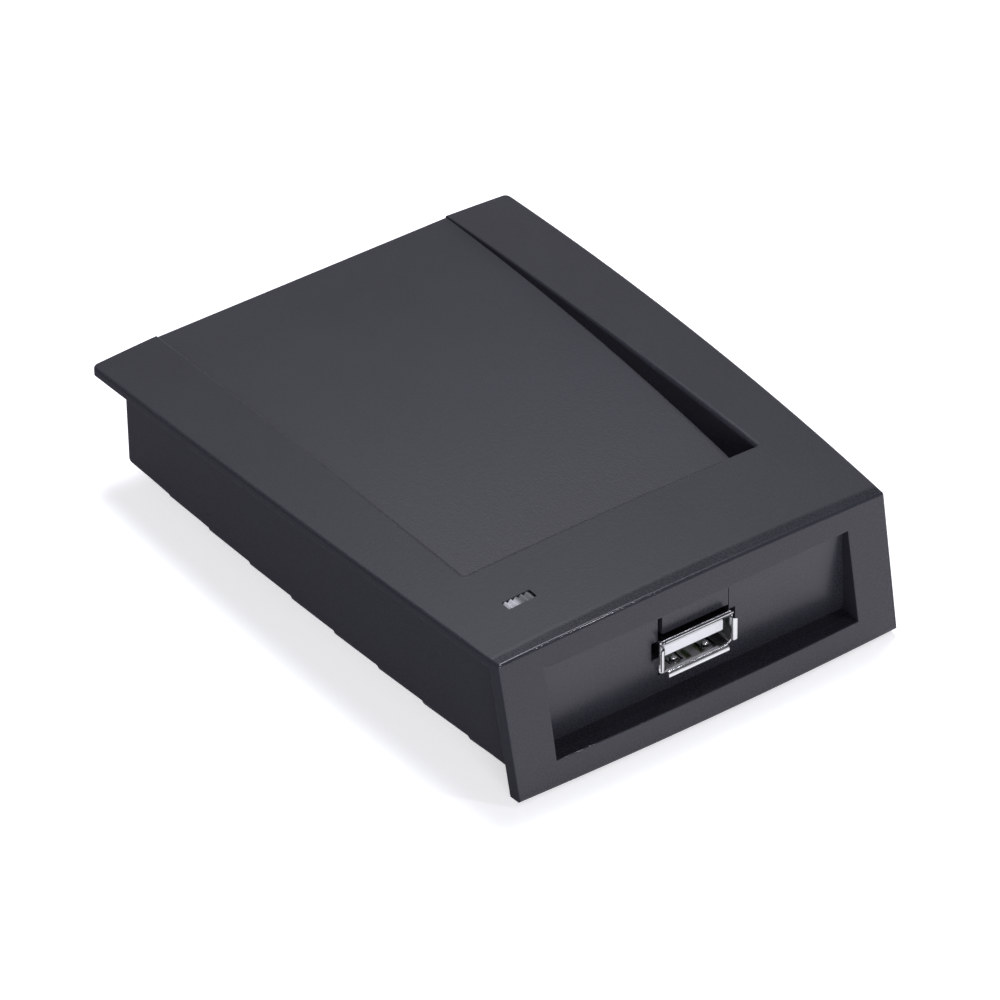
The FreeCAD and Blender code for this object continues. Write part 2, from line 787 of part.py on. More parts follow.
def make_light_pipe():
    """The clear indicator window in the cover, with a stem down to the lamps on the board."""
    half_long = S.lamp_long / 2
    half_wide = S.lamp_wide / 2
    head_low = S.crest_port - S.lamp_head
    head = block("light_head", (S.lamp_offset - half_long, S.lamp_offset + half_long),
                 (LAMP_Y - half_wide, LAMP_Y + half_wide), (head_low, S.crest_port + SPARE))
    stem_long = half_long - S.lamp_stem_inset
    stem_wide = half_wide - S.lamp_stem_slim
    stem = block("light_stem", (S.lamp_offset - stem_long, S.lamp_offset + stem_long),
                 (LAMP_Y - stem_wide, LAMP_Y + stem_wide),
                 (BOARD_TOP + S.led_height + S.lamp_air, head_low + SPARE))
    return common("light_pipe", [fuse("light_solid", [head, stem]), crown_torus("light_crown", S.lamp_sink)])


def make_rubber_feet():
    """Four rubber feet, each seated in its recess and bevelled towards the desk."""
    top = S.base_underside + S.foot_seat
    tip_radius = S.foot_radius - S.foot_bevel
    feet = []
    for number, (x, y) in enumerate(FEET):
        tip = cone("foot_tip_%d" % number, tip_radius, S.foot_radius, x, y, (0, S.foot_bevel))
        disc = rod("foot_disc_%d" % number, S.foot_radius, x, y, (S.foot_bevel, top))
        feet.append(fuse("foot_%d" % number, [tip, disc]))
    return group("rubber_feet", feet)


def cross_recess(label, radius, x, y, z):
    """The cross-shaped driver recess of a screw head, in shares of the head's radius."""
    arm = radius * 0.55
    slot = radius * 0.16
    return fuse(label, [
        block(label + "_a", (x - arm, x + arm), (y - slot, y + slot), z),
        block(label + "_b", (x - slot, x + slot), (y - arm, y + arm), z),
    ])


def make_case_screws():
    """Four self-tapping screws, driven up through the base into the cover's bosses."""
    head_low = SCREW_SEAT - S.screw_head_height
    shank_top = SCREW_SEAT + S.screw_length - S.screw_tip
    screws = []
    for number, (x, y) in enumerate(CASE_SCREWS):
        name = "case_screw_%d" % number
        head = rod(name + "_head", S.screw_head_radius, x, y, (head_low, SCREW_SEAT))
        shank = rod(name + "_shank", S.screw_radius, x, y, (SCREW_SEAT, shank_top))
        tip = cone(name + "_tip", S.screw_radius, S.screw_radius / 4, x, y,
                   (shank_top, shank_top + S.screw_tip))
        recess = cross_recess(name + "_cross", S.screw_head_radius, x, y,
                              (head_low - SPARE, head_low + S.screw_head_height / 2))
        screws.append(cut(name, fuse(name + "_body", [head, shank, tip]), recess))
    return group("case_screws", screws)


def make_board_screws():
    """Four short screws that hold the board down on its posts."""
    top = BOARD_TOP + S.board_screw_rise
    screws = []
    for number, (x, y) in enumerate(BOARD_SCREWS):
        name = "board_screw_%d" % number
        head = rod(name + "_head", S.board_screw_head, x, y, (BOARD_TOP, top))
        shank = rod(name + "_shank", S.board_screw_radius, x, y,
                    (BOARD_TOP - S.board_screw_length, BOARD_TOP))
        recess = cross_recess(name + "_cross", S.board_screw_head, x, y,
                              (top - S.board_screw_rise / 2, top + SPARE))
        screws.append(cut(name, fuse(name + "_body", [head, shank]), recess))
    return group("board_screws", screws)


def make_rating_label():
    """A blank label in the recess under the base."""
    top = S.base_underside + S.label_recess
    half_long = S.label_long / 2 - S.label_gap
    half_wide = S.label_wide / 2 - S.label_gap
    return block("rating_label", (-half_long, half_long), (-half_wide, half_wide), (top - S.label_thick, top))


# ---------------------------------------------------------------- the USB-A socket

PORT_BACK = PORT_MOUTH - S.port_shell_length
PORT_LIP_ROOT = PORT_MOUTH - S.port_flare
SHELL_X = S.port_shell_width / 2
SHELL_Z = S.port_shell_height / 2
CONTACT_X = (-3.5, -1.0, 1.0, 3.5)           # standard contact places across a USB-A socket


def sorted_pair(one, other):
    """Two limits in rising order."""
    return (one, other) if as_size(one).value <= as_size(other).value else (other, one)


def flared(label, low, high):
    """A form that widens along the socket's lips: its half sizes (across, tall) at the root and the mouth."""
    wedge = add("Part::Wedge", label)
    for prop, size in (("Xmin", -low[0]), ("Xmax", low[0]), ("Zmin", -low[1]), ("Zmax", low[1]),
                       ("X2min", -high[0]), ("X2max", high[0]), ("Z2min", -high[1]), ("Z2max", high[1]),
                       ("Ymin", as_size(0)), ("Ymax", S.port_flare)):
        bind(wedge, prop, size)
    put(wedge, 0, PORT_LIP_ROOT, PORT_Z)
    return wedge


def make_shell_tube():
    """The socket's folded steel tube, open below at its back, with four lips flared at its mouth."""
    wall = S.port_shell_wall
    inner_x = SHELL_X - wall
    inner_z = SHELL_Z - wall
    tube = block("shell_tube", (-SHELL_X, SHELL_X), (PORT_BACK, PORT_LIP_ROOT),
                 (PORT_Z - SHELL_Z, PORT_Z + SHELL_Z))
    lips = flared("shell_lips", (SHELL_X, SHELL_Z), (SHELL_X + S.port_lip_side, SHELL_Z + S.port_flare))
    hollow = block("shell_hollow", (-inner_x, inner_x), (PORT_BACK + wall, PORT_LIP_ROOT),
                   (PORT_Z - inner_z, PORT_Z + inner_z))
    throat = flared("shell_throat", (inner_x, inner_z), (inner_x + S.port_lip_side, inner_z + S.port_flare))
    tail = block("shell_tail", (-inner_x, inner_x), (PORT_BACK - SPARE, PORT_BACK + S.port_block_long),
                 (PORT_Z - SHELL_Z - SPARE, PORT_Z))
    beyond = S.port_flare + SPARE
    corners = [
        block("shell_corner_%d%d" % (side + 1, up + 1),
              sorted_pair(side * (SHELL_X - S.port_flare), side * (SHELL_X + beyond)),
              (PORT_LIP_ROOT + S.port_flare / 7, PORT_MOUTH + SPARE),
              sorted_pair(PORT_Z + up * (SHELL_Z - S.port_flare), PORT_Z + up * (SHELL_Z + beyond)))
        for side in (-1, 1) for up in (-1, 1)
    ]
    return cut("shell_folded", fuse("shell_solid", [tube, lips]),
               fuse("shell_space", [hollow, throat, tail] + corners))


def make_usb_shell():
    """The socket's shell with a pair of springs above and below, and two legs through the board."""
    wall = S.port_shell_wall
    half = S.port_spring_half
    slim = half - S.port_spring_slit
    stop = PORT_LIP_ROOT - S.port_spring_back
    start = stop - S.port_spring_long
    slots = []
    springs = []
    for side in (-1, 1):
        x = side * SHELL_X / 2
        for up in (-1, 1):
            name = "%d%d" % (side + 1, up + 1)
            z = PORT_Z + up * (SHELL_Z - wall / 2)
            slots.append(block("shell_slot_" + name, (x - half, x + half), (start, stop),
                               (z - wall, z + wall)))
            springs.append(block("shell_finger_" + name, (x - slim, x + slim),
                                 (start - wall, stop - S.port_spring_slit),
                                 sorted_pair(z - up * wall / 2, z - up * wall * 1.3)))
            springs.append(rod("shell_button_" + name, slim, x, stop - half,
                               sorted_pair(z - up * wall / 2, z - up * wall * 2.2)))
    leg_y = PORT_BACK + S.port_leg_back
    legs = [
        block("shell_leg_%d" % (side + 1), sorted_pair(side * SHELL_X, side * (SHELL_X - wall)),
              (leg_y, leg_y + S.port_leg_wide), (S.board_underside - S.port_leg_reach, PORT_Z))
        for side in (-1, 1)
    ]
    slotted = cut("shell_slotted", make_shell_tube(), fuse("shell_slots", slots))
    return fuse("usb_shell", [slotted] + springs + legs)


def make_usb_inside():
    """The socket's insulator with its tongue, and the four contacts along the tongue's underside."""
    wall = S.port_shell_wall
    back = PORT_BACK + wall
    tongue_top = PORT_Z + SHELL_Z - wall - S.port_tongue_drop
    tongue_low = tongue_top - S.port_tongue_thick
    tongue_end = PORT_MOUTH - S.port_tongue_setback
    block_end = back + S.port_block_long
    contact_back = back + S.contact_setback
    contacts = []
    for number, x in enumerate(CONTACT_X):
        half = S.contact_wide / 2
        strip = block("contact_strip_%d" % number, (x - half, x + half),
                      (contact_back, tongue_end - S.contact_setback),
                      (tongue_low - S.contact_thick, tongue_low))
        leg_half = S.contact_leg / 2
        leg = block("contact_leg_%d" % number, (x - leg_half, x + leg_half),
                    (contact_back, contact_back + 2 * S.contact_thick), (BOARD_TOP, tongue_low))
        contacts.append(fuse("contact_%d" % number, [strip, leg]))
    inner_x = SHELL_X - wall - S.port_block_gap
    solid = fuse("tongue_solid", [
        block("tongue_back", (-inner_x, inner_x), (back, block_end),
              (BOARD_TOP + wall, PORT_Z + SHELL_Z - wall - S.port_block_gap)),
        block("tongue_blade", (-S.port_tongue_width / 2, S.port_tongue_width / 2), (block_end, tongue_end),
              (tongue_low, tongue_top)),
    ])
    return [cut("usb_tongue", solid, fuse("tongue_slots", contacts)), group("usb_contacts", contacts)]


# ---------------------------------------------------------------- the reader board

def on_board(x, setback):
    """A place on the board, at a distance from its port edge."""
    return as_size(x), BOARD_PORT - setback


BUZZER_X, BUZZER_Y = on_board(-S.buzzer_offset, S.buzzer_setback)
BUZZER_PINS = [(BUZZER_X + side * S.buzzer_pin_span / 2, BUZZER_Y) for side in (-1, 1)]
HEADER_PINS = [on_board(S.header_offset + S.header_pitch * number, S.header_setback) for number in range(4)]
CRYSTALS = [on_board(13.5, 29.0), on_board(-16.0, 35.5)]
RESISTORS = [on_board(7.0 + 2.6 * column, 23.0 - 3.2 * row) for row in range(2) for column in range(4)]
CERAMICS = [on_board(-8.0 + 2.6 * column, 18.5 - 3.2 * row) for row in range(2) for column in range(4)]
LAMPS = [(S.lamp_offset + side * S.led_spread, LAMP_Y) for side in (-1, 1)]


def make_main_board():
    """The bare circuit board with holes for its screws, pins and the socket's legs."""
    plate = block("board_plate", (-BOARD_HALF, BOARD_HALF), (BOARD_USER, BOARD_PORT),
                  (S.board_underside, BOARD_TOP))
    through = (S.board_underside - SPARE, BOARD_TOP + SPARE)
    gap = S.board_hole_gap
    holes = [rod("board_hole_%d" % number, S.board_screw_radius + gap, x, y, through)
             for number, (x, y) in enumerate(BOARD_SCREWS)]
    holes += [rod("board_pin_hole_%d" % number, S.pin_radius + gap, x, y, through)
              for number, (x, y) in enumerate(BUZZER_PINS + HEADER_PINS)]
    leg_y = PORT_BACK + S.port_leg_back
    holes += [
        block("board_leg_slot_%d" % (side + 1),
              sorted_pair(side * (SHELL_X + gap), side * (SHELL_X - S.port_shell_wall - gap)),
              (leg_y - gap, leg_y + S.port_leg_wide + gap), through)
        for side in (-1, 1)
    ]
    return cut("main_board", plate, fuse("board_holes", holes))


def make_antenna_coil():
    """The reader's antenna: a rectangular spiral of copper track on the user half of the board."""
    z = (BOARD_TOP, BOARD_TOP + S.coil_thick)
    half = BOARD_HALF - S.coil_edge
    user_edge = BOARD_USER + S.coil_user_setback
    port_edge = BOARD_PORT - S.coil_port_setback
    track = S.coil_track
    runs = []
    for turn in range(DRIVING["coil_turns"]):
        inset = turn * S.coil_pitch
        left, right = inset - half, half - inset
        front, back = user_edge + inset, port_edge - inset
        step = 0 if turn == 0 else S.coil_pitch
        runs += [
            block("coil_front_%d" % turn, (left - step, right), (front, front + track), z),
            block("coil_right_%d" % turn, (right - track, right), (front, back), z),
            block("coil_back_%d" % turn, (left, right), (back - track, back), z),
            block("coil_left_%d" % turn, (left, left + track), (front + S.coil_pitch, back), z),
        ]
    return fuse("antenna_coil", runs)


def bent_lead(label, centre, half, outward, offset, rise, wide):
    """One bent lead of a chip: outward is its direction as (x, y), offset its place along the side."""
    thick = S.lead_thick
    middle = half + S.lead_reach / 2
    spans = (
        ("shoulder", (half, middle), (rise, rise + thick)),
        ("fall", (middle - thick, middle), (BOARD_TOP, rise + thick)),
        ("foot", (middle - thick, half + S.lead_reach), (BOARD_TOP, BOARD_TOP + thick)),
    )
    across = (offset - wide / 2, offset + wide / 2)
    bits = []
    for bit, (near, far), z in spans:
        along_x = sorted_pair(outward[0] * near, outward[0] * far) if outward[0] else across
        along_y = sorted_pair(outward[1] * near, outward[1] * far) if outward[1] else across
        bits.append(block(label + "_" + bit, (centre[0] + along_x[0], centre[0] + along_x[1]),
                          (centre[1] + along_y[0], centre[1] + along_y[1]), z))
    return fuse(label, bits)


def chip_with_leads(name, centre, side, height, pitch, sides):
    """A moulded chip and the eight leads along each of some of its sides, as two nodes."""
    x, y = centre
    half = side / 2
    chip = block(name + "_chip", (x - half, x + half), (y - half, y + half),
                 (BOARD_TOP + S.chip_stand, BOARD_TOP + height))
    per_side = 8
    leads = [
        bent_lead("%s_lead_%d_%d" % (name, number, place), centre, half, outward,
                  (place - (per_side - 1) / 2) * pitch, BOARD_TOP + height / 2, pitch * 0.45)
        for number, outward in enumerate(sides) for place in range(per_side)
    ]
    return [chip, group(name + "_leads", leads)]


def make_buzzer():
    """The sounder: a round can with a sound hole, on two pins through the board."""
    top = BOARD_TOP + S.buzzer_height
    can = rod("buzzer_body", S.buzzer_radius, BUZZER_X, BUZZER_Y, (BOARD_TOP, top))
    hole = rod("buzzer_hole", S.buzzer_hole, BUZZER_X, BUZZER_Y, (top - S.buzzer_hole_deep, top + SPARE))
    pins = [rod("buzzer_pin_%d" % number, S.pin_radius, x, y, (S.board_underside - S.pin_tail, BOARD_TOP))
            for number, (x, y) in enumerate(BUZZER_PINS)]
    return [cut("buzzer_can", can, hole), group("buzzer_pins", pins)]


def make_crystals():
    """Two clock crystals in oval steel cans."""
    radius = S.crystal_wide / 2
    half = S.crystal_long / 2 - radius
    z = (BOARD_TOP, BOARD_TOP + S.crystal_height)
    cans = []
    for number, (x, y) in enumerate(CRYSTALS):
        name = "crystal_%d" % number
        cans.append(fuse(name, [
            block(name + "_middle", (x - half, x + half), (y - radius, y + radius), z),
            rod(name + "_left", radius, x - half, y, z),
            rod(name + "_right", radius, x + half, y, z),
        ]))
    return group("clock_crystals", cans)


def make_bulk_capacitor():
    """An upright electrolytic capacitor with a rolled groove near its foot."""
    x, y = on_board(S.capacitor_offset, S.capacitor_setback)
    radius = S.capacitor_radius
    low = BOARD_TOP + S.capacitor_groove_low
    can = rod("capacitor_can", radius, x, y, (BOARD_TOP, BOARD_TOP + S.capacitor_height))
    outer = rod("capacitor_groove_outer", radius + SPARE, x, y, (low, low + S.capacitor_groove))
    inner = rod("capacitor_groove_inner", radius - S.capacitor_groove, x, y, (low - SPARE, low + SPARE))
    return cut("bulk_capacitor", can, cut("capacitor_groove", outer, inner))


def make_regulator():
    """The voltage regulator: a small moulded block with one wide tab and three narrow leads."""
    x, y = on_board(-S.regulator_offset, S.regulator_setback)
    half_long = S.regulator_long / 2
    half_wide = S.regulator_wide / 2
    z = (BOARD_TOP, BOARD_TOP + S.regulator_thick)
    body = block("voltage_regulator", (x - half_long, x + half_long), (y - half_wide, y + half_wide),
                 (BOARD_TOP + S.chip_stand, BOARD_TOP + S.regulator_height))
    far = half_wide + S.regulator_reach
    leads = [block("regulator_tab", (x - S.regulator_tab / 2, x + S.regulator_tab / 2),
                   (y + half_wide, y + far), z)]
    for number in (-1, 0, 1):
        middle = x + S.regulator_pitch * number
        half = S.regulator_lead / 2
        leads.append(block("regulator_lead_%d" % (number + 1), (middle - half, middle + half),
                           (y - far, y - half_wide), z))
    return [body, group("regulator_leads", leads)]


def make_choke():
    """A square power choke with a round winding showing in its top."""
    x, y = on_board(S.choke_offset, S.choke_setback)
    half = S.choke_side / 2
    top = BOARD_TOP + S.choke_height
    body = block("choke_body", (x - half, x + half), (y - half, y + half), (BOARD_TOP, top))
    well = rod("choke_well", half - S.choke_rim, x, y, (top - S.choke_well, top + SPARE))
    return cut("power_choke", body, well)


def small_parts(label, centres, long, wide, tall):
    """Identical small rectangular parts soldered on the board, as one node."""
    return group(label, [
        block("%s_%d" % (label, number), (x - long / 2, x + long / 2), (y - wide / 2, y + wide / 2),
              (BOARD_TOP, BOARD_TOP + tall))
        for number, (x, y) in enumerate(centres)
    ])


def make_header():
    """A four-pin programming header: its plastic strip and its pins through the board."""
    reach = S.header_pitch / 2
    (first_x, y), (last_x, _) = HEADER_PINS[0], HEADER_PINS[-1]
    strip = block("header_strip", (first_x - reach, last_x + reach), (y - reach, y + reach),
                  (BOARD_TOP, BOARD_TOP + S.header_height))
    pins = [rod("header_pin_%d" % number, S.pin_radius, x, y,
                (S.board_underside - S.pin_tail, BOARD_TOP + S.header_rise))
            for number, (x, y) in enumerate(HEADER_PINS)]
    return [cut("header_block", strip, fuse("header_slots", pins)), group("header_pins", pins)]


ALL_ROUND = ((1, 0), (0, 1), (-1, 0), (0, -1))
BOTH_ENDS = ((1, 0), (-1, 0))

NODES = [
    make_top_cover(),
    make_base_case(),
    make_light_pipe(),
    make_rubber_feet(),
    make_case_screws(),
    make_board_screws(),
    make_rating_label(),
    make_usb_shell(),
    *make_usb_inside(),
    make_main_board(),
    make_antenna_coil(),
    *chip_with_leads("mcu", on_board(0, S.mcu_setback), S.mcu_side, S.mcu_height, S.mcu_pitch, ALL_ROUND),
    *chip_with_leads("rf", on_board(-2, S.rf_setback), S.rf_side, S.rf_height, S.rf_pitch, BOTH_ENDS),
    *make_buzzer(),
    make_crystals(),
    make_bulk_capacitor(),
    *make_regulator(),
    small_parts("chip_resistors", RESISTORS, S.passive_long, S.passive_wide, S.resistor_height),
    small_parts("chip_capacitors", CERAMICS, S.passive_long, S.passive_wide, S.ceramic_height),
    small_parts("status_leds", LAMPS, S.led_long, S.led_wide, S.led_height),
    make_choke(),
    *make_header(),
]


# ---------------------------------------------------------------- check and write

def write_parts():
    """Check every object of the document, then write each node's solids."""
    DOC.recompute()
    for obj in DOC.Objects:
        if "Invalid" in obj.State or "Error" in obj.State:
            raise RuntimeError("%s failed: %s" % (obj.Label, obj.State))
    os.makedirs("parts", exist_ok=True)
    for node in NODES:
        shape = node.Shape
        if shape.isNull() or not shape.isValid() or not shape.Solids:
            raise RuntimeError("%s has no valid solid" % node.Label)
        shape.exportStep("parts/%s.step" % node.Label)
        print("%-18s %2d solids, %9.1f mm3" % (node.Label, len(shape.Solids), shape.Volume))


write_parts()
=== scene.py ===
"""Looks for a desktop contactless card reader, dressed over its CAD model.

Lengths inside a Shape are in millimetres; the finished meshes, the lamps and the camera are in metres.
"""
import logging
import math
from dataclasses import dataclass
from enum import Enum
from typing import Iterable, Mapping, Sequence, Union

import bmesh
import bpy
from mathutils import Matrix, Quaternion, Vector


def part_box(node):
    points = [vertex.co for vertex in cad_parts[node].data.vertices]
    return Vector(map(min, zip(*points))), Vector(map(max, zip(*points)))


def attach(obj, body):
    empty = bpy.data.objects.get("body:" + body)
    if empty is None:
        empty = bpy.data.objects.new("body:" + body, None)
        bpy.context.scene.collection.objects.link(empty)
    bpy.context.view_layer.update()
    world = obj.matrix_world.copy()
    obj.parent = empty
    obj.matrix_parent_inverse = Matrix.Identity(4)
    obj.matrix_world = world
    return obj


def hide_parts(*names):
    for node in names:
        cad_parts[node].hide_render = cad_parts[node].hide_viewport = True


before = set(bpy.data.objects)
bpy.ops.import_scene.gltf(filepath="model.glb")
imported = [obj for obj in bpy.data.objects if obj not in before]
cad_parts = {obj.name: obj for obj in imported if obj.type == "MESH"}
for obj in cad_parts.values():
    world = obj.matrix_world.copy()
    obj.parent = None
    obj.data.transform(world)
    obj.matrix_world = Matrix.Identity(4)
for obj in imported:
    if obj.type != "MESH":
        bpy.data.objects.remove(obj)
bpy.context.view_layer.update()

MM = 0.001
BODY = "root"
LOG = logging.getLogger("card_reader")

Colour = tuple[float, float, float]
Point = tuple[float, float]
Span = tuple[float, float]


# ------------------------------------------------------------------ shader graphs

class Wire:
    """A shader socket that takes part in arithmetic."""

    def __init__(self, graph: "Graph", socket: bpy.types.NodeSocket) -> None:
        """Keep the socket with the graph that owns it."""
        self.graph = graph
        self.socket = socket

    def __add__(self, other: "Value") -> "Wire":
        """Sum of two values."""
        return self.graph.math("ADD", self, other)

    def __radd__(self, other: "Value") -> "Wire":
        """Sum with a number on the left."""
        return self.graph.math("ADD", other, self)

    def __sub__(self, other: "Value") -> "Wire":
        """Difference of two values."""
        return self.graph.math("SUBTRACT", self, other)

    def __rsub__(self, other: "Value") -> "Wire":
        """A number less this value."""
        return self.graph.math("SUBTRACT", other, self)

    def __mul__(self, other: "Value") -> "Wire":
        """Product of two values."""
        return self.graph.math("MULTIPLY", self, other)

    def __rmul__(self, other: "Value") -> "Wire":
        """Product with a number on the left."""
        return self.graph.math("MULTIPLY", other, self)

    def ramp(self, low: float, high: float) -> "Wire":
        """Smooth rise from 0 at `low` to 1 at `high`."""
        return self.graph.node("ShaderNodeMapRange", {"interpolation_type": "SMOOTHSTEP"},
                               {"Value": self, "From Min": low, "From Max": high})


Value = Union[float, Wire]


class Graph:
    """The node graph of one material."""

    def __init__(self, name: str) -> None:
        """Start an empty material of that name."""
        self.material = bpy.data.materials.new(name)
        self.material.use_nodes = True
        self.tree = self.material.node_tree
        self.tree.nodes.clear()
        self.place = self.node("ShaderNodeTexCoord", {}, {}, "Object")

    def node(self, kind: str, settings: Mapping[str, object], inputs: Mapping[object, object],
             output: object = 0) -> Wire:
        """Add one node.

        Args:
            kind: The node's type name.
            settings: Its options, set before its sockets; "stops" are a ramp's (place, colour) pairs.
            inputs: A number, a colour or a Wire for each socket, by name or index.
            output: The name or index of the socket to hand back.

        Returns:
            The chosen output.
        """
        made = self.tree.nodes.new(kind)
        for option, choice in settings.items():
            if option == "stops":
                self._set_stops(made.color_ramp, choice)
            else:
                setattr(made, option, choice)
        for name, value in inputs.items():
            if isinstance(value, Wire):
                self.tree.links.new(value.socket, made.inputs[name])
            else:
                made.inputs[name].default_value = value
        return Wire(self, made.outputs[output])

    @staticmethod
    def _set_stops(ramp: bpy.types.ColorRamp, stops: Sequence[tuple[float, Colour]]) -> None:
        """Lay the stops on a colour ramp.

        Args:
            ramp: The ramp, which starts with two stops.
            stops: Pairs of place and colour, in rising order.
        """
        while len(ramp.elements) < len(stops):
            ramp.elements.new(1.0)
        for element, (place, colour) in zip(ramp.elements, stops):
            element.position = place
            element.color = (*colour, 1.0)

    def math(self, operation: str, first: Value, second: Value) -> Wire:
        """Add a Math node and return its value."""
        return self.node("ShaderNodeMath", {"operation": operation}, {0: first, 1: second})

    def blend(self, share: Value, first: object, second: object) -> Wire:
        """Mix two colours.

        Args:
            share: How much of the second colour, 0 to 1.
            first: A colour or a Wire.
            second: A colour or a Wire.

        Returns:
            The mixed colour.
        """
        ends = {6: first, 7: second}
        paints = {key: end if isinstance(end, Wire) else (*end, 1.0) for key, end in ends.items()}
        return self.node("ShaderNodeMix", {"data_type": "RGBA"}, {0: share, **paints}, 2)

    def noise(self, size: float, detail: float = 2.0, seed: float = 0.0,
              stretch: Colour = (1.0, 1.0, 1.0)) -> Wire:
        """Add soft fractal noise.

        Args:
            size: How far apart its features are, in metres.
            detail: How many finer layers it carries.
            seed: Which noise it is.
            stretch: How much the noise is squeezed along each axis.

        Returns:
            The noise, 0 to 1 about a middle of 0.5.
        """
        place = self.node("ShaderNodeVectorMath", {"operation": "MULTIPLY"}, {0: self.place, 1: stretch})
        return self.node("ShaderNodeTexNoise", {"noise_dimensions": "4D"},
                         {"Vector": place, "W": seed, "Scale": 1 / size, "Detail": detail})

    def turns(self) -> tuple[Wire, Wire]:
        """Tell faces by the way they look.

        Returns:
            How much a face looks along x, and a mask of the rounds between two main faces.
        """
        normal = self.node("ShaderNodeNewGeometry", {}, {}, "Normal")
        parts = []
        for name in ("X", "Y", "Z"):
            part = self.node("ShaderNodeSeparateXYZ", {}, {"Vector": normal}, name)
            parts.append(self.math("ABSOLUTE", part, 0.0))
        largest = self.math("MAXIMUM", self.math("MAXIMUM", parts[0], parts[1]), parts[2])
        return parts[0], (1 - largest).ramp(0.06, 0.20)

    def edges(self, radius: float, gain: float) -> Wire:
        """Find where the surface turns sharply.

        Args:
            radius: How far from an edge it is felt, in metres.
            gain: How strongly a turn counts.

        Returns:
            A mask, 1 at a sharp edge and 0 on flats.
        """
        rounded = self.node("ShaderNodeBevel", {"samples": 6}, {"Radius": radius})
        normal = self.node("ShaderNodeNewGeometry", {}, {}, "Normal")
        along = self.node("ShaderNodeVectorMath", {"operation": "DOT_PRODUCT"}, {0: rounded, 1: normal},
                          "Value")
        return ((1 - along) * gain).ramp(0.0, 1.0)

    def bump(self, height: Wire, depth: float, strength: float = 1.0) -> Wire:
        """Normal of a surface raised by `height`, up to `depth` metres."""
        return self.node("ShaderNodeBump", {}, {"Height": height, "Distance": depth, "Strength": strength})

    def principled(self, sockets: Mapping[str, object]) -> Wire:
        """Add a Principled surface with these sockets."""
        return self.node("ShaderNodeBsdfPrincipled", {}, sockets)

    def close(self, shader: Wire) -> None:
        """Send a shader to the material's output."""
        output = self.tree.nodes.new("ShaderNodeOutputMaterial")
        self.tree.links.new(shader.socket, output.inputs["Surface"])

    def surface(self, sockets: Mapping[str, object]) -> None:
        """Finish the graph with one Principled surface."""
        self.close(self.principled(sockets))


# ------------------------------------------------------------------ finishes

@dataclass(frozen=True)
class Finish:
    """One surface finish, from which a material is made."""

    name: str
    tint: Colour
    roughness: float

    def paint(self, graph: Graph) -> None:
        """Draw the finish in its graph, which each kind of finish does in its own way."""
        raise NotImplementedError

    def material(self) -> bpy.types.Material:
        """Make the finish's material.

        Returns:
            The material, with its graph drawn.
        """
        graph = Graph(self.name)
        self.paint(graph)
        return graph.material

    def shade(self, factor: float) -> Colour:
        """Make the tint lighter or darker.

        Args:
            factor: What each part of the tint is multiplied by.

        Returns:
            The shade, with no part over 1.
        """
        red, green, blue = (min(1.0, part * factor) for part in self.tint)
        return red, green, blue


@dataclass(frozen=True)
class MouldedPlastic(Finish):
    """Plastic from a spark-textured mould: a fine pebble grain, soft blotches, edges lightened as wear and as
    a painted highlight, and a painted highlight on the rounds between faces.

    Past `satin_from` along y it is smoother, by `satin`. Faces that look along x keep `side_gloss`
    of their shine, and rounds are smoother by `edge_polish`.
    """

    grain: float = 0.30 * MM
    depth: float = 0.042 * MM
    # How far the edges are lightened, partly as wear and partly as a painted highlight.
    blotch: float = 0.12
    rub_and_highlight: float = 0.5
    specular: float = 0.36
    satin_from: float = 1.0
    satin: float = 0.0
    side_gloss: float = 1.0
    edge_polish: float = 0.0

    def paint(self, graph: Graph) -> None:
        """Draw the grain, the blotches, and the edges and rounds lightened as wear and as a painted
        highlight.

        Args:
            graph: The empty graph that the finish is drawn in.
        """
        pebble = graph.noise(self.grain, 1.5)
        fleck = graph.noise(self.grain * 2.6, 1.0, 4.0)
        cloud = graph.noise(14 * MM, 3.0, 7.0)
        # Edge mask: lightens the colour and smooths the roughness, partly as wear and partly as a painted
        # highlight.
        wear_and_highlight = graph.edges(0.35 * MM, 6.0) * graph.noise(1.2 * MM, 3.0, 2.0).ramp(0.25, 0.75)
        along = graph.node("ShaderNodeSeparateXYZ", {}, {"Vector": graph.place}, "Y")
        smooth = along.ramp(self.satin_from - 0.6 * MM, self.satin_from + 0.6 * MM) * self.satin
        sideways, bend = graph.turns()
        mottled = graph.blend(cloud, self.shade(1 - self.blotch), self.shade(1 + self.blotch))
        speckled = graph.blend(pebble.ramp(0.50, 0.85) * 0.45, mottled, self.shade(1.9))
        # Painted highlight: the rounds between faces are lightened by 0.15, on top of the lightened edges.
        colour = graph.blend(wear_and_highlight * self.rub_and_highlight + bend * 0.15, speckled, self.shade(3.0))
        rough = (self.roughness + (cloud - 0.5) * 0.10 + (pebble - 0.5) * 0.16 - wear_and_highlight * 0.08
                 - bend * self.edge_polish)
        grit = (pebble * 0.75 + fleck * 0.25) * (1 - smooth * 0.75)
        normal = graph.bump(grit * (1 - bend * 0.6), self.depth)
        satin = graph.principled({"Base Color": colour, "Roughness": rough - smooth * 0.20, "Normal": normal,
                                  "Specular IOR Level": self.specular})
        dull = graph.principled({"Base Color": colour, "Roughness": rough + 0.22, "Normal": normal,
                                 "Specular IOR Level": self.specular * self.side_gloss})
        graph.close(graph.node("ShaderNodeMixShader", {}, {0: sideways.ramp(0.55, 0.90), 1: satin, 2: dull}))


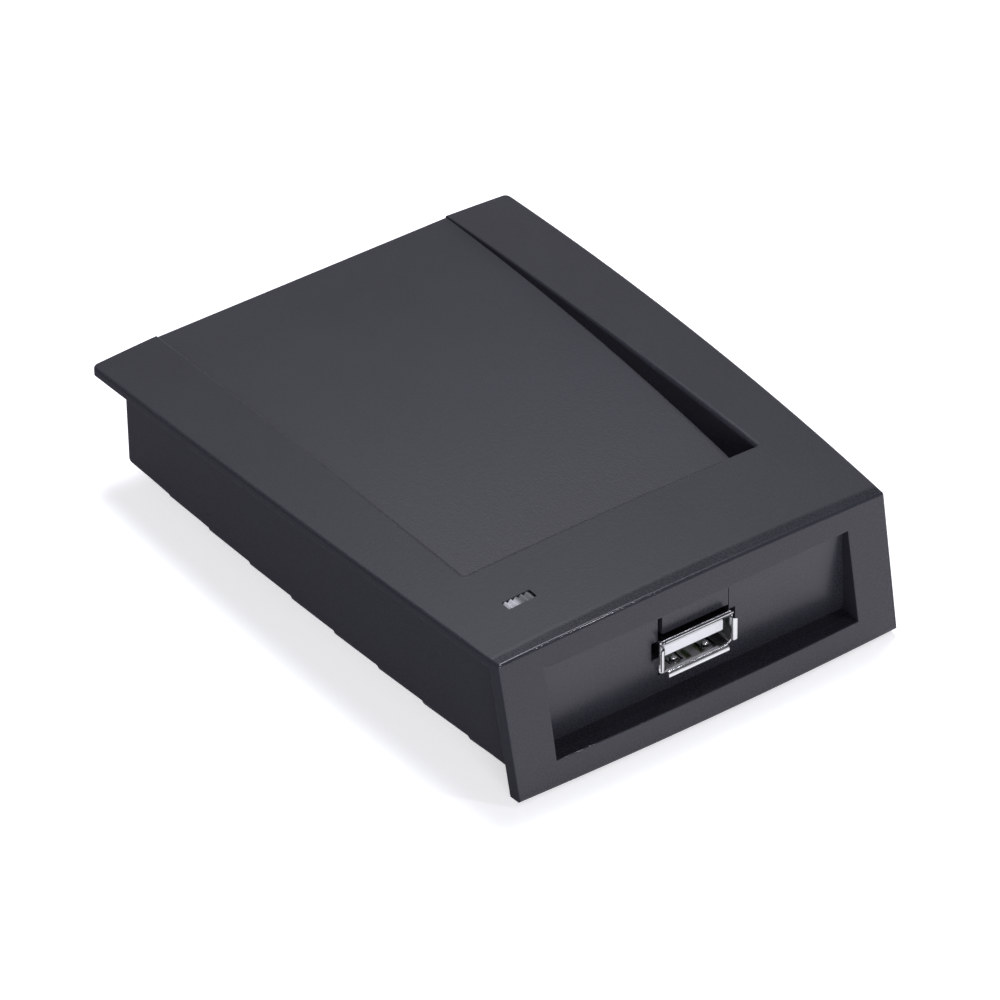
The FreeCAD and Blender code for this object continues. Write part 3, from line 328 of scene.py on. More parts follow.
@dataclass(frozen=True)
class SheetMetal(Finish):
    """Plated or bare metal, drawn along one axis, with fine scratches and duller patches."""

    drawn: Colour = (1.0, 0.06, 1.0)
    streak: float = 0.25 * MM
    depth: float = 0.002 * MM

    def paint(self, graph: Graph) -> None:
        """Draw the rolled streaks, the patches and the painted highlight on the edges.

        Args:
            graph: The empty graph that the finish is drawn in.
        """
        streaks = graph.noise(self.streak, 3.0, 1.0, self.drawn)
        patches = graph.noise(2.5 * MM, 3.0, 5.0)
        # Painted highlight: the edges get a lighter base colour and a little less roughness.
        edge_highlight = graph.edges(0.12 * MM, 4.0)
        dull = graph.blend(patches, self.shade(0.82), self.shade(1.05))
        graph.surface({
            "Base Color": graph.blend(edge_highlight * 0.6, dull, self.shade(1.25)),
            "Metallic": 1.0,
            "Roughness": self.roughness + (streaks - 0.5) * 0.18 + (patches - 0.5) * 0.10 - edge_highlight * 0.05,
            "Normal": graph.bump(streaks, self.depth),
        })


@dataclass(frozen=True)
class ClearPlastic(Finish):
    """Clear moulded plastic with a faint flow pattern and a few hairline scratches.

    It lets the share `passes` of the light through, and past a given place along x its colour is painted
    pale, which on the indicator lens is a painted reflection.
    """

    passes: float = 1.0
    pale_from: float = -1.0

    def paint(self, graph: Graph) -> None:
        """Draw the flow pattern and the hairlines.

        Args:
            graph: The empty graph that the finish is drawn in.
        """
        flow = graph.noise(1.4 * MM, 2.0, 3.0)
        along = graph.node("ShaderNodeSeparateXYZ", {}, {"Vector": graph.place}, "X")
        # Painted reflection: past a set place along x the base colour turns pale, which on the indicator lens
        # stands in for its white-lit facets.
        pale_share = along.ramp(self.pale_from - 0.2 * MM, self.pale_from + 0.2 * MM)
        hairline = graph.noise(0.09 * MM, 2.0, 8.0, (1.0, 0.08, 1.0)).ramp(0.60, 0.72)
        graph.surface({
            "Base Color": graph.blend(pale_share, graph.blend(flow, self.shade(0.30), self.shade(0.42)),
                                      self.shade(1.0)),
            "Roughness": self.roughness + (flow - 0.5) * 0.05 + hairline * 0.08,
            "IOR": 1.49,
            "Transmission Weight": self.passes,
            "Normal": graph.bump(flow, 0.01 * MM, 0.4),
        })


@dataclass(frozen=True)
class SoftRubber(Finish):
    """Soft rubber with a dry skin and dust held in its pores."""

    def paint(self, graph: Graph) -> None:
        """Draw the pores, the dust and the worn rim.

        Args:
            graph: The empty graph that the finish is drawn in.
        """
        pores = graph.noise(0.22 * MM, 4.0, 6.0)
        dust = graph.noise(2.2 * MM, 4.0, 9.0).ramp(0.45, 0.85)
        worn = graph.edges(0.5 * MM, 3.0)
        graph.surface({
            "Base Color": graph.blend(dust * 0.35 + worn * 0.2, self.tint, self.shade(2.6)),
            "Roughness": self.roughness + (pores - 0.5) * 0.15,
            "Specular IOR Level": 0.3,
            "Normal": graph.bump(pores, 0.02 * MM),
        })


@dataclass(frozen=True)
class PrintedFilm(Finish):
    """A blank film label: a smooth pale face with a laid fibre and lightly browned edges."""

    def paint(self, graph: Graph) -> None:
        """Draw the fibre, the clouding and the browned edges.

        Args:
            graph: The empty graph that the finish is drawn in.
        """
        fibre = graph.noise(0.35 * MM, 3.0, 2.0, (1.0, 0.35, 1.0))
        cloud = graph.noise(9 * MM, 2.0, 4.0)
        aged = graph.edges(0.6 * MM, 3.0)
        graph.surface({
            "Base Color": graph.blend(aged * 0.4 + cloud * 0.25, self.tint, self.shade(0.72)),
            "Roughness": self.roughness + (fibre - 0.5) * 0.18,
            "Normal": graph.bump(fibre, 0.006 * MM),
        })


@dataclass(frozen=True)
class SolderMask(Finish):
    """Green lacquer over copper tracks: raised lines in a lighter green, and a satin skin."""

    def paint(self, graph: Graph) -> None:
        """Draw the tracks, the copper pour and the lacquer's ripple.

        Args:
            graph: The empty graph that the finish is drawn in.
        """
        tracks = graph.node("ShaderNodeTexBrick", {"offset": 0.37, "squash": 1.4, "squash_frequency": 3}, {
            "Vector": graph.place, "Scale": 1 / (9 * MM), "Mortar Size": 0.03, "Mortar Smooth": 0.25,
        }, "Fac")
        pour = graph.noise(11 * MM, 1.0, 3.0).ramp(0.48, 0.52)
        ripple = graph.noise(0.5 * MM, 3.0, 6.0)
        copper = graph.blend(pour, self.tint, self.shade(1.5))
        graph.surface({
            "Base Color": graph.blend(tracks * 0.7, copper, self.shade(2.2)),
            "Roughness": self.roughness + (ripple - 0.5) * 0.15,
            "Coat Weight": 0.35 + tracks * 0.2,
            "Normal": graph.bump(tracks * 0.8 + ripple * 0.2, 0.03 * MM),
        })


@dataclass(frozen=True)
class StudioPaper(Finish):
    """Matt seamless paper under the object, lit through from below like a light table."""

    glow: float = 0.0

    def paint(self, graph: Graph) -> None:
        """Draw the paper's tooth and its faint clouding.

        Args:
            graph: The empty graph that the finish is drawn in.
        """
        tooth = graph.noise(0.8 * MM, 3.0)
        cloud = graph.noise(250 * MM, 2.0, 5.0)
        graph.surface({
            "Base Color": graph.blend(cloud, self.shade(0.985), self.shade(1.0)),
            "Roughness": self.roughness + (tooth - 0.5) * 0.05,
            "Specular IOR Level": 0.1,
            "Emission Color": graph.blend(cloud, self.shade(1.0), self.shade(1.03)),
            "Emission Strength": self.glow,
            "Normal": graph.bump(tooth, 0.02 * MM, 0.3),
        })


FINISHES: dict[str, Finish] = {
    "case_black": MouldedPlastic("case_black", (0.0215, 0.0217, 0.0280), 0.48, satin_from=47.5 * MM,
                                 satin=1.0, side_gloss=0.12, edge_polish=0.22),
    "clear_lens": ClearPlastic("clear_lens", (0.93, 0.94, 0.96), 0.10, 0.35, 24.6 * MM),
    "foot_rubber": SoftRubber("foot_rubber", (0.028, 0.028, 0.030), 0.82),
    "screw_steel": SheetMetal("screw_steel", (0.10, 0.10, 0.11), 0.36, (1.0, 1.0, 0.2)),
    "blank_label": PrintedFilm("blank_label", (0.66, 0.67, 0.68), 0.42),
    "socket_nickel": SheetMetal("socket_nickel", (0.62, 0.62, 0.63), 0.15),
    "socket_plastic": MouldedPlastic("socket_plastic", (0.70, 0.70, 0.71), 0.38, 0.15 * MM, 0.003 * MM,
                                     0.05, 0.0),
    "contact_gold": SheetMetal("contact_gold", (0.86, 0.62, 0.28), 0.22),
    "board_green": SolderMask("board_green", (0.010, 0.085, 0.035), 0.34),
    "coil_copper": SheetMetal("coil_copper", (0.12, 0.34, 0.12), 0.30, (1.0, 1.0, 1.0)),
    "chip_black": MouldedPlastic("chip_black", (0.030, 0.030, 0.032), 0.58, 0.12 * MM, 0.008 * MM,
                                 0.10, 0.25),
    "tinned_lead": SheetMetal("tinned_lead", (0.62, 0.62, 0.60), 0.30, (0.2, 0.2, 1.0)),
    "buzzer_black": MouldedPlastic("buzzer_black", (0.022, 0.022, 0.024), 0.40, 0.10 * MM, 0.004 * MM,
                                   0.08, 0.3),
    "can_steel": SheetMetal("can_steel", (0.66, 0.65, 0.62), 0.26, (0.1, 1.0, 1.0)),
    "can_aluminium": SheetMetal("can_aluminium", (0.80, 0.80, 0.80), 0.32, (1.0, 1.0, 0.1)),
    "resistor_ceramic": MouldedPlastic("resistor_ceramic", (0.035, 0.036, 0.045), 0.35, 0.08 * MM, 0.004 * MM,
                                       0.15, 0.6),
    "capacitor_ceramic": MouldedPlastic("capacitor_ceramic", (0.36, 0.25, 0.15), 0.42, 0.08 * MM, 0.004 * MM,
                                        0.15, 0.4),
    "lamp_clear": ClearPlastic("lamp_clear", (0.92, 0.90, 0.80), 0.12, 0.6),
    "choke_ferrite": MouldedPlastic("choke_ferrite", (0.060, 0.058, 0.056), 0.70, 0.15 * MM, 0.012 * MM,
                                    0.2, 0.3),
}


# ------------------------------------------------------------------ shapes

class Axis(Enum):
    """The axis that an outline is pulled along."""

    X = 0
    Y = 1
    Z = 2


class Shape:
    """A mesh under construction, in millimetres of the object's own frame."""

    def __init__(self) -> None:
        """Start with nothing."""
        self.mesh = bmesh.new()

    def pull(self, outline: Sequence[Point], axis: Axis, span: Span, shear: Point = (0.0, 0.0)) -> "Shape":
        """Add a solid with a constant outline.

        Args:
            outline: Corners in the two other axes, in x, y, z order.
            axis: The axis that the outline is pulled along.
            span: Where it starts and stops on that axis.
            shear: How far z rises per millimetre of x and of y.

        Returns:
            The shape, for another call.
        """
        rings = []
        for stop in span:
            ring = []
            for first, second in outline:
                spot = [first, second]
                spot.insert(axis.value, stop)
                spot[2] += shear[0] * spot[0] + shear[1] * spot[1]
                ring.append(self.mesh.verts.new(spot))
            rings.append(ring)
        low, high = rings
        count = len(outline)
        for here in range(count):
            after = (here + 1) % count
            self.mesh.faces.new((low[here], low[after], high[after], high[here]))
        self.mesh.faces.new(low[::-1])
        self.mesh.faces.new(high)
        return self

    def block(self, x: Span, y: Span, z: Span) -> "Shape":
        """Add a rectangular block."""
        return self.pull([(x[0], y[0]), (x[1], y[0]), (x[1], y[1]), (x[0], y[1])], Axis.Z, z)

    def turn(self, profile: Sequence[Point], centre: Point, steps: int = 56) -> "Shape":
        """Add a turned solid about an upright axis.

        Args:
            profile: Pairs of radius and height from the bottom to the top; ends at radius 0 close it.
            centre: Where the axis stands.
            steps: How many facets go round.

        Returns:
            The shape, for another call.
        """
        rings = []
        for radius, height in profile:
            if radius <= 0:
                rings.append([self.mesh.verts.new((*centre, height))])
                continue
            rings.append([
                self.mesh.verts.new((centre[0] + radius * math.cos(math.tau * step / steps),
                                     centre[1] + radius * math.sin(math.tau * step / steps), height))
                for step in range(steps)
            ])
        for low, high in zip(rings, rings[1:]):
            for step in range(steps):
                corners = [low[step % len(low)], low[(step + 1) % len(low)],
                           high[(step + 1) % len(high)], high[step % len(high)]]
                ring = list(dict.fromkeys(corners))
                if len(ring) > 2:
                    self.mesh.faces.new(ring)
        return self

    def skin(self, rows: Sequence[Sequence[Vector]], gaps: Iterable[tuple[int, int]] = (),
             thick: float = 0.3) -> "Shape":
        """Add a sheet through rows of points, thickened away from its normal.

        Args:
            rows: Rows of points, all of one length.
            gaps: Cells (row, column) that are left out.
            thick: The sheet's thickness.

        Returns:
            The shape, for another call.
        """
        missing = set(gaps)
        sheet = bmesh.new()
        knots = [[sheet.verts.new(point) for point in row] for row in rows]
        for i in range(len(rows) - 1):
            for j in range(len(rows[0]) - 1):
                if (i, j) not in missing:
                    sheet.faces.new((knots[i][j], knots[i][j + 1], knots[i + 1][j + 1], knots[i + 1][j]))
        loose = [vert for vert in sheet.verts if not vert.link_faces]
        bmesh.ops.delete(sheet, geom=loose, context="VERTS")
        bmesh.ops.remove_doubles(sheet, verts=sheet.verts, dist=1e-4)
        bmesh.ops.solidify(sheet, geom=sheet.faces[:], thickness=thick)
        flat = bpy.data.meshes.new("sheet")
        sheet.to_mesh(flat)
        sheet.free()
        self.mesh.from_mesh(flat)
        bpy.data.meshes.remove(flat)
        return self

    def ease(self, width: float, steps: int = 2, over: float = 40.0) -> "Shape":
        """Round every edge that turns by more than an angle.

        Args:
            width: How far the round reaches from the edge.
            steps: How many facets it has.
            over: The least turn, in degrees.

        Returns:
            The shape, for another call.
        """
        bmesh.ops.recalc_face_normals(self.mesh, faces=self.mesh.faces)
        sharp = [edge for edge in self.mesh.edges
                 if len(edge.link_faces) == 2 and edge.calc_face_angle(0.0) > math.radians(over)]
        bmesh.ops.bevel(self.mesh, geom=sharp, offset=width, segments=steps, profile=0.5, affect="EDGES",
                        clamp_overlap=True)
        return self

    def made(self, name: str, smooth: float = 32.0) -> bpy.types.Object:
        """Turn the shape into an object.

        Args:
            name: The object's name.
            smooth: The turn, in degrees, above which an edge stays sharp.

        Returns:
            The object, in metres and linked to the scene.
        """
        bmesh.ops.recalc_face_normals(self.mesh, faces=self.mesh.faces)
        bmesh.ops.scale(self.mesh, vec=(MM, MM, MM), verts=self.mesh.verts)
        data = bpy.data.meshes.new(name)
        self.mesh.to_mesh(data)
        self.mesh.free()
        data.polygons.foreach_set("use_smooth", [True] * len(data.polygons))
        data.set_sharp_from_angle(angle=math.radians(smooth))
        piece = bpy.data.objects.new(name, data)
        bpy.context.scene.collection.objects.link(piece)
        return piece


def carved(body: bpy.types.Object, tool: bpy.types.Object) -> bpy.types.Object:
    """Cut one object out of another.

    Args:
        body: The object that is cut, and kept.
        tool: The object that cuts it, and is removed.

    Returns:
        The cut object.
    """
    cut = body.modifiers.new("recess", "BOOLEAN")
    cut.object = tool
    cut.solver = "EXACT"
    cut.use_self = True  # the tool's own blocks cross each other
    bpy.context.view_layer.update()
    cleared = bpy.data.meshes.new_from_object(body.evaluated_get(bpy.context.evaluated_depsgraph_get()))
    body.modifiers.clear()
    body.data = cleared
    bpy.data.objects.remove(tool)
    if not cleared.polygons:
        raise RuntimeError(f"{body.name}: nothing is left after the cut")
    return body


@dataclass(frozen=True)
class Box:
    """A node's box in millimetres."""

    low: Vector
    high: Vector

    @staticmethod
    def of(node: str) -> "Box":
        """The box of one CAD node."""
        low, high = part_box(node)
        return Box(low / MM, high / MM)

    @property
    def middle(self) -> Vector:
        """The box's centre."""
        return (self.low + self.high) / 2

    @property
    def size(self) -> Vector:
        """The box's lengths."""
        return self.high - self.low


def solids_of(node: str, gap: float = 0.3) -> list[Box]:
    """Find the separate solids of one CAD node.

    Args:
        node: The node's name.
        gap: How close two faces' boxes must be, in millimetres, to belong to one solid.

    Returns:
        One box for each solid, in order of y and then x.
    """
    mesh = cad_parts[node].data
    found: list[tuple[Vector, Vector]] = []
    for face in mesh.polygons:
        spots = [mesh.vertices[index].co / MM for index in face.vertices]
        low = Vector(min(spot[axis] for spot in spots) for axis in range(3))
        high = Vector(max(spot[axis] for spot in spots) for axis in range(3))
        apart = []
        for other_low, other_high in found:
            if all(other_low[axis] - gap <= high[axis] and low[axis] <= other_high[axis] + gap
                   for axis in range(3)):
                low = Vector(map(min, low, other_low))
                high = Vector(map(max, high, other_high))
            else:
                apart.append((other_low, other_high))
        found = apart + [(low, high)]
    return [Box(low, high) for low, high in sorted(found, key=lambda pair: (pair[0].y, pair[0].x))]


# ------------------------------------------------------------------ the object's pieces

class Dresser:
    """Gives pieces and carried-over nodes their finishes, and puts pieces on the body."""

    def __init__(self) -> None:
        """Start with no material made."""
        self.made: dict[str, bpy.types.Material] = {}
        self.replaced: set[str] = set()

    def cloth(self, slot: str) -> bpy.types.Material:
        """Make the material of a slot, once.

        Args:
            slot: The slot's name.

        Returns:
            The material, the same one each time.
        """
        if slot not in self.made:
            self.made[slot] = FINISHES[slot].material()
        return self.made[slot]

    def fit(self, piece: bpy.types.Object, slot: str, *nodes: str) -> None:
        """Dress a new piece, put it on the body and let it stand for CAD nodes.

        Args:
            piece: The new piece.
            slot: The material slot it takes its finish from.
            nodes: The CAD nodes that it replaces.
        """
        piece.data.materials.clear()
        piece.data.materials.append(self.cloth(slot))
        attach(piece, BODY)
        if nodes:
            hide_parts(*nodes)
            self.replaced.update(nodes)
        LOG.info("%s: %d faces, %s", piece.name, len(piece.data.polygons), slot)

    def carry_over(self) -> None:
        """Give every CAD node that stays the finish of its slot."""
        for name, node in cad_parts.items():
            if name in self.replaced:
                continue
            slots = [holder.material.name.split(".")[0] for holder in node.material_slots]
            for holder, slot in zip(node.material_slots, slots):
                holder.material = self.cloth(slot)
            LOG.info("%s: kept, %s", name, ", ".join(slots))


@dataclass
class IndicatorLens:
    """The clear window over the lamps: a block topped by a row of prisms, and a stem down to the board."""

    body: float = 1.4
    ridge: float = 0.42
    ridges: int = 5
    margin: float = 0.08
    stem_inset: float = 1.0
    stem_slim: float = 0.3

    def slopes(self) -> tuple[float, float, float]:
        """Height and slopes of the case's top at the window.

        Returns:
            The height at the middle, and the rise per millimetre of x and of y.
        """
        box = Box.of("light_pipe")
        spots = [vertex.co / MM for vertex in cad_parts["light_pipe"].data.vertices]
        tops = {}
        for x in (box.low.x, box.high.x):
            for y in (box.low.y, box.high.y):
                near = [spot.z for spot in spots if abs(spot.x - x) < 0.01 and abs(spot.y - y) < 0.01]
                tops[x, y] = max(near)
        along = (tops[box.high.x, box.low.y] - tops[box.low.x, box.low.y]) / box.size.x
        across = (tops[box.low.x, box.high.y] - tops[box.low.x, box.low.y]) / box.size.y
        return sum(tops.values()) / 4, along, across

    def outline(self, box: Box) -> list[Point]:
        """Section of the lens in x and z, with z taken from the case's top.

        Args:
            box: The window's box.

        Returns:
            The corners, from the foot of the low-x end over the ridges.
        """
        low, high = box.low.x + 0.02, box.high.x - 0.02
        corners = [(high, -self.body), (low, -self.body), (low, -self.ridge)]
        step = (high - low - 2 * self.margin) / self.ridges
        for number in range(self.ridges):
            start = low + self.margin + number * step
            corners += [(start, -self.ridge), (start + step * 0.46, -0.02), (start + step * 0.54, -0.02)]
        return [*corners, (high - self.margin, -self.ridge), (high, -self.ridge)]

    def build(self) -> bpy.types.Object:
        """Make the lens and its stem.

        Returns:
            The lens.
        """
        box = Box.of("light_pipe")
        top, along, across = self.slopes()
        middle = box.middle
        base = top - along * middle.x - across * middle.y
        outline = [(x, z + base) for x, z in self.outline(box)]
        shape = Shape()
        shape.pull(outline, Axis.Y, (box.low.y + 0.02, box.high.y - 0.02), (along, across))
        shape.block((box.low.x + self.stem_inset, box.high.x - self.stem_inset),
                    (box.low.y + self.stem_slim, box.high.y - self.stem_slim),
                    (box.low.z, top - self.body - 0.6))
        return shape.made("indicator_lens", 20.0)

    def dress(self, dresser: Dresser) -> None:
        """Build the lens and give it its clear finish."""
        dresser.fit(self.build(), "clear_lens", "light_pipe")


FLANGE_CURVE: tuple[Point, ...] = ((0.0, 0.0), (0.45, 0.0), (0.72, 0.03), (0.88, 0.11), (0.97, 0.26),
                                   (1.0, 0.45), (1.0, 0.72), (1.0, 1.0))
LIP_CURVE: tuple[Point, ...] = ((0.0, 0.0), (0.25, 0.02), (0.48, 0.09), (0.68, 0.22), (0.84, 0.42),
                                (0.94, 0.66), (0.99, 0.86), (1.0, 1.0))


@dataclass
class SocketShell:
    """The socket's folded sheet: a round-cornered tube with flared lips, springs and two legs."""

    wall: float = 0.30
    fold: float = 0.55
    flare: float = 0.70
    lip_side: float = 0.50
    lip_trim: float = 0.2
    low_lip: float = 5.65
    top_lip: float = 6.3
    spring_x: float = 3.0
    spring_half: float = 0.95
    slit: float = 0.32
    spring_long: float = 5.0
    spring_back: float = 0.8
    dome: float = 0.62
    dome_rise: float = 0.42
    leg_back: float = 4.0
    leg_wide: float = 2.0
    leg_lap: float = 1.0

    def __post_init__(self) -> None:
        """Take the tube's limits from the CAD socket."""
        box = Box.of("usb_shell")
        self.back = box.low.y
        self.mouth = box.high.y
        self.root = box.high.y - self.flare
        self.half = box.high.x - self.lip_side
        self.top = box.high.z - self.flare
        self.floor = Box.of("main_board").high.z
        self.leg_low = box.low.z

    def columns(self) -> list[float]:
        """List where a slit or a fold starts across a wide wall.

        Returns:
            The places in x, in rising order.
        """
        edge = self.half - self.fold
        marks = [-edge, edge]
        for side in (-1, 1):
            for reach in (self.spring_half, self.spring_half + self.slit):
                marks += [side * self.spring_x - reach, side * self.spring_x + reach]
        return sorted(marks)

    def ring(self) -> list[tuple[float, float, str]]:
        """The tube's section as points (x, z, wall), round from the floor's low-x end.

        Returns:
            The points; wall is floor, top, side or fold.
        """
        points: list[tuple[float, float, str]] = [(x, self.floor, "floor") for x in self.columns()]
        corners = [(1, -1, -90), (1, 1, 0), (-1, 1, 90), (-1, -1, 180)]
        for number, (side, up, start) in enumerate(corners):
            centre_x = side * (self.half - self.fold)
            centre_z = (self.top - self.fold) if up > 0 else (self.floor + self.fold)
            for step in range(1, 4):
                angle = math.radians(start + 30 * step)
                wall = "side" if step == 3 and number in (0, 2) else "fold"
                points.append((centre_x + self.fold * math.cos(angle), centre_z + self.fold * math.sin(angle),
                               wall))
            if number == 0:
                points.append((self.half, self.top - self.fold, "fold"))
            elif number == 1:
                points.extend((x, self.top, "top") for x in reversed(self.columns()))
            elif number == 2:
                points.append((-self.half, self.floor + self.fold, "fold"))
        return points

    def build_tube(self, shape: Shape) -> None:
        """Add the tube, with slits round the two springs in its floor.

        Args:
            shape: The shape that the tube is added to.
        """
        ring = self.ring()
        stop = self.root - self.spring_back
        start = stop - self.spring_long
        marks = [self.back, start, stop - self.slit, stop, self.root]
        rows = [[Vector((x, y, z)) for x, z, _ in [*ring, ring[0]]] for y in marks]
        gaps = []
        for column, (x, z, wall) in enumerate(ring[:-1]):
            after = ring[column + 1]
            if wall != "floor" or after[2] != wall:
                continue
            offset = abs(abs((x + after[0]) / 2) - self.spring_x)
            if self.spring_half < offset < self.spring_half + self.slit:
                gaps += [(1, column), (2, column)]
            elif offset < self.spring_half:
                gaps.append((2, column))
        shape.skin(rows, gaps, self.wall)

    def lip(self, shape: Shape, ends: tuple[Vector, Vector], out: Vector, reach: float, trim: float,
            curve: Sequence[Point]) -> None:
        """Add one flared lip.

        Args:
            shape: The shape that the lip is added to.
            ends: The two ends of its root.
            out: The direction that it flares in.
            reach: How far it flares.
            trim: How much it narrows at each end by its rim.
            curve: Shares of the depth and of the reach along its section.
        """
        along = (ends[1] - ends[0]).normalized()
        depth = self.mouth - self.root
        rows = []
        for step, (ahead, share) in enumerate(curve):
            forward = Vector((0, depth * ahead, 0))
            outward = out * reach * share
            cut = along * trim * (step / (len(curve) - 1)) ** 2
            first = ends[0] + forward + outward + cut
            last = ends[1] + forward + outward - cut
            rows.append([first.lerp(last, place / 12) for place in range(13)])
        shape.skin(rows, (), self.wall)

    def build(self) -> bpy.types.Object:
        """Make the whole shell.

        Returns:
            The shell.
        """
        shape = Shape()
        self.build_tube(shape)
        tall = self.fold * 1.3
        for z, up, wide in ((self.floor, -1, self.low_lip), (self.top, 1, self.top_lip)):
            ends = (Vector((-up * wide, self.root, z)), Vector((up * wide, self.root, z)))
            self.lip(shape, ends, Vector((0, 0, up)), self.flare, 0.0, LIP_CURVE)
        for side in (-1, 1):
            low, high = self.floor + tall, self.top - tall
            ends = (Vector((side * self.half, self.root, low if side < 0 else high)),
                    Vector((side * self.half, self.root, high if side < 0 else low)))
            self.lip(shape, ends, Vector((side, 0, 0)), self.lip_side, self.lip_trim, FLANGE_CURVE)
        stop = self.root - self.spring_back - self.slit
        for side in (-1, 1):
            for z, radius, y in ((self.floor + self.wall, self.dome, stop - 0.6),
                                 (self.top, self.dome * 1.35, stop - 0.2)):
                arc = [(radius * math.cos(math.radians(turn)),
                        z + self.dome_rise * math.sin(math.radians(turn)) - 0.02)
                       for turn in range(0, 90, 15)]
                sole = (0.0, arc[0][1])
                shape.turn([sole, *arc, (0.0, z + self.dome_rise)], (side * self.spring_x, y), 28)
            legs = sorted((side * self.half, side * (self.half - self.wall)))
            start = self.back + self.leg_back
            shape.block((legs[0], legs[1]), (start, start + self.leg_wide),
                        (self.leg_low, self.floor + self.leg_lap))
        return shape.made("socket_shell", 38.0)

    def dress(self, dresser: Dresser) -> None:
        """Build the shell and plate it."""
        dresser.fit(self.build(), "socket_nickel", "usb_shell")


@dataclass
class SocketInside:
    """The insulator with its chamfered tongue, and four springy contacts under it."""

    tongue_half: float = 5.5
    block_long: float = 3.2
    chamfer: float = 0.35
    contact_half: float = 0.5
    contact_thick: float = 0.15
    tongue_thick: float = 1.9
    contact_bow: float = 0.22
    contact_places: tuple[float, ...] = (-3.5, -1.0, 1.0, 3.5)

    def build_tongue(self) -> bpy.types.Object:
        """Make the insulator block and its tongue.

        Returns:
            The insulator.
        """
        box = Box.of("usb_tongue")
        contact = Box.of("usb_contacts")
        low = contact.high.z
        top = low + self.tongue_thick
        back = box.low.y + self.block_long
        front = box.high.y
        outline = [(back - 0.2, low), (front, low - 0.25), (front, top - self.chamfer),
                   (front - self.chamfer, top), (back - 0.2, top)]
        shape = Shape().pull(outline, Axis.X, (-self.tongue_half, self.tongue_half)).ease(0.12, 2, 30.0)
        rear = Shape().block((box.low.x, box.high.x), (box.low.y, back), (box.low.z, box.high.z)).ease(0.2, 2)
        spare = bpy.data.meshes.new("rear")
        rear.mesh.to_mesh(spare)
        shape.mesh.from_mesh(spare)
        bpy.data.meshes.remove(spare)
        return shape.made("socket_tongue")

    def build_contacts(self) -> bpy.types.Object:
        """Make the four contacts, each bowed down towards its free end.

        Returns:
            The contacts.
        """
        box = Box.of("usb_contacts")
        shape = Shape()
        low, high = box.low, box.high
        for x in self.contact_places:
            rows = []
            for step in range(15):
                share = step / 14
                y = high.y + (low.y + 0.2 - high.y) * share
                bow = self.contact_bow * math.sin(math.pi * min(1.0, share * 2.2)) if share < 0.46 else 0.0
                rows.append([Vector((x + side * self.contact_half, y, high.z - bow)) for side in (-1, 1)])
            for z in (high.z - 0.8, low.z):
                rows.append([Vector((x + side * 0.3, low.y + 0.1, z)) for side in (-1, 1)])
            shape.skin(rows, (), self.contact_thick)
        return shape.made("socket_contacts")

    def dress(self, dresser: Dresser) -> None:
        """Build the insulator and the contacts, and finish both."""
        dresser.fit(self.build_tongue(), "socket_plastic", "usb_tongue")
        dresser.fit(self.build_contacts(), "contact_gold", "usb_contacts")


@dataclass
class RubberFeet:
    """Four moulded feet with a rounded rim, a shallow dish and two grip rings."""

    rim: float = 0.7
    ring_depth: float = 0.12

    def profile(self, radius: float, low: float, high: float) -> list[Point]:
        """Radius and height of a foot, from the middle of its sole to its top.

        Args:
            radius: The foot's radius.
            low: The height of its sole.
            high: The height of its top.

        Returns:
            The turned profile.
        """
        points = [(0.0, low + 0.10), (radius * 0.30, low + 0.10)]
        for share in (0.42, 0.62):
            points += [(radius * (share - 0.05), low), (radius * share, low),
                       (radius * (share + 0.02), low + self.ring_depth),
                       (radius * (share + 0.08), low + self.ring_depth)]
        points.append((radius - self.rim, low))
        for step in range(1, 7):
            turn = math.radians(15 * step)
            points.append((radius - self.rim * (1 - math.sin(turn)), low + self.rim * (1 - math.cos(turn))))
        return [*points, (radius, high - 0.1), (radius - 0.1, high), (0.0, high)]

    def build(self) -> bpy.types.Object:
        """Make the four feet.

        Returns:
            The feet.
        """
        shape = Shape()
        for foot in solids_of("rubber_feet"):
            centre = (foot.middle.x, foot.middle.y)
            shape.turn(self.profile(foot.size.x / 2, foot.low.z, foot.high.z), centre, 64)
        return shape.made("moulded_feet", 30.0)

    def dress(self, dresser: Dresser) -> None:
        """Build the feet and give them their rubber."""
        dresser.fit(self.build(), "foot_rubber", "rubber_feet")


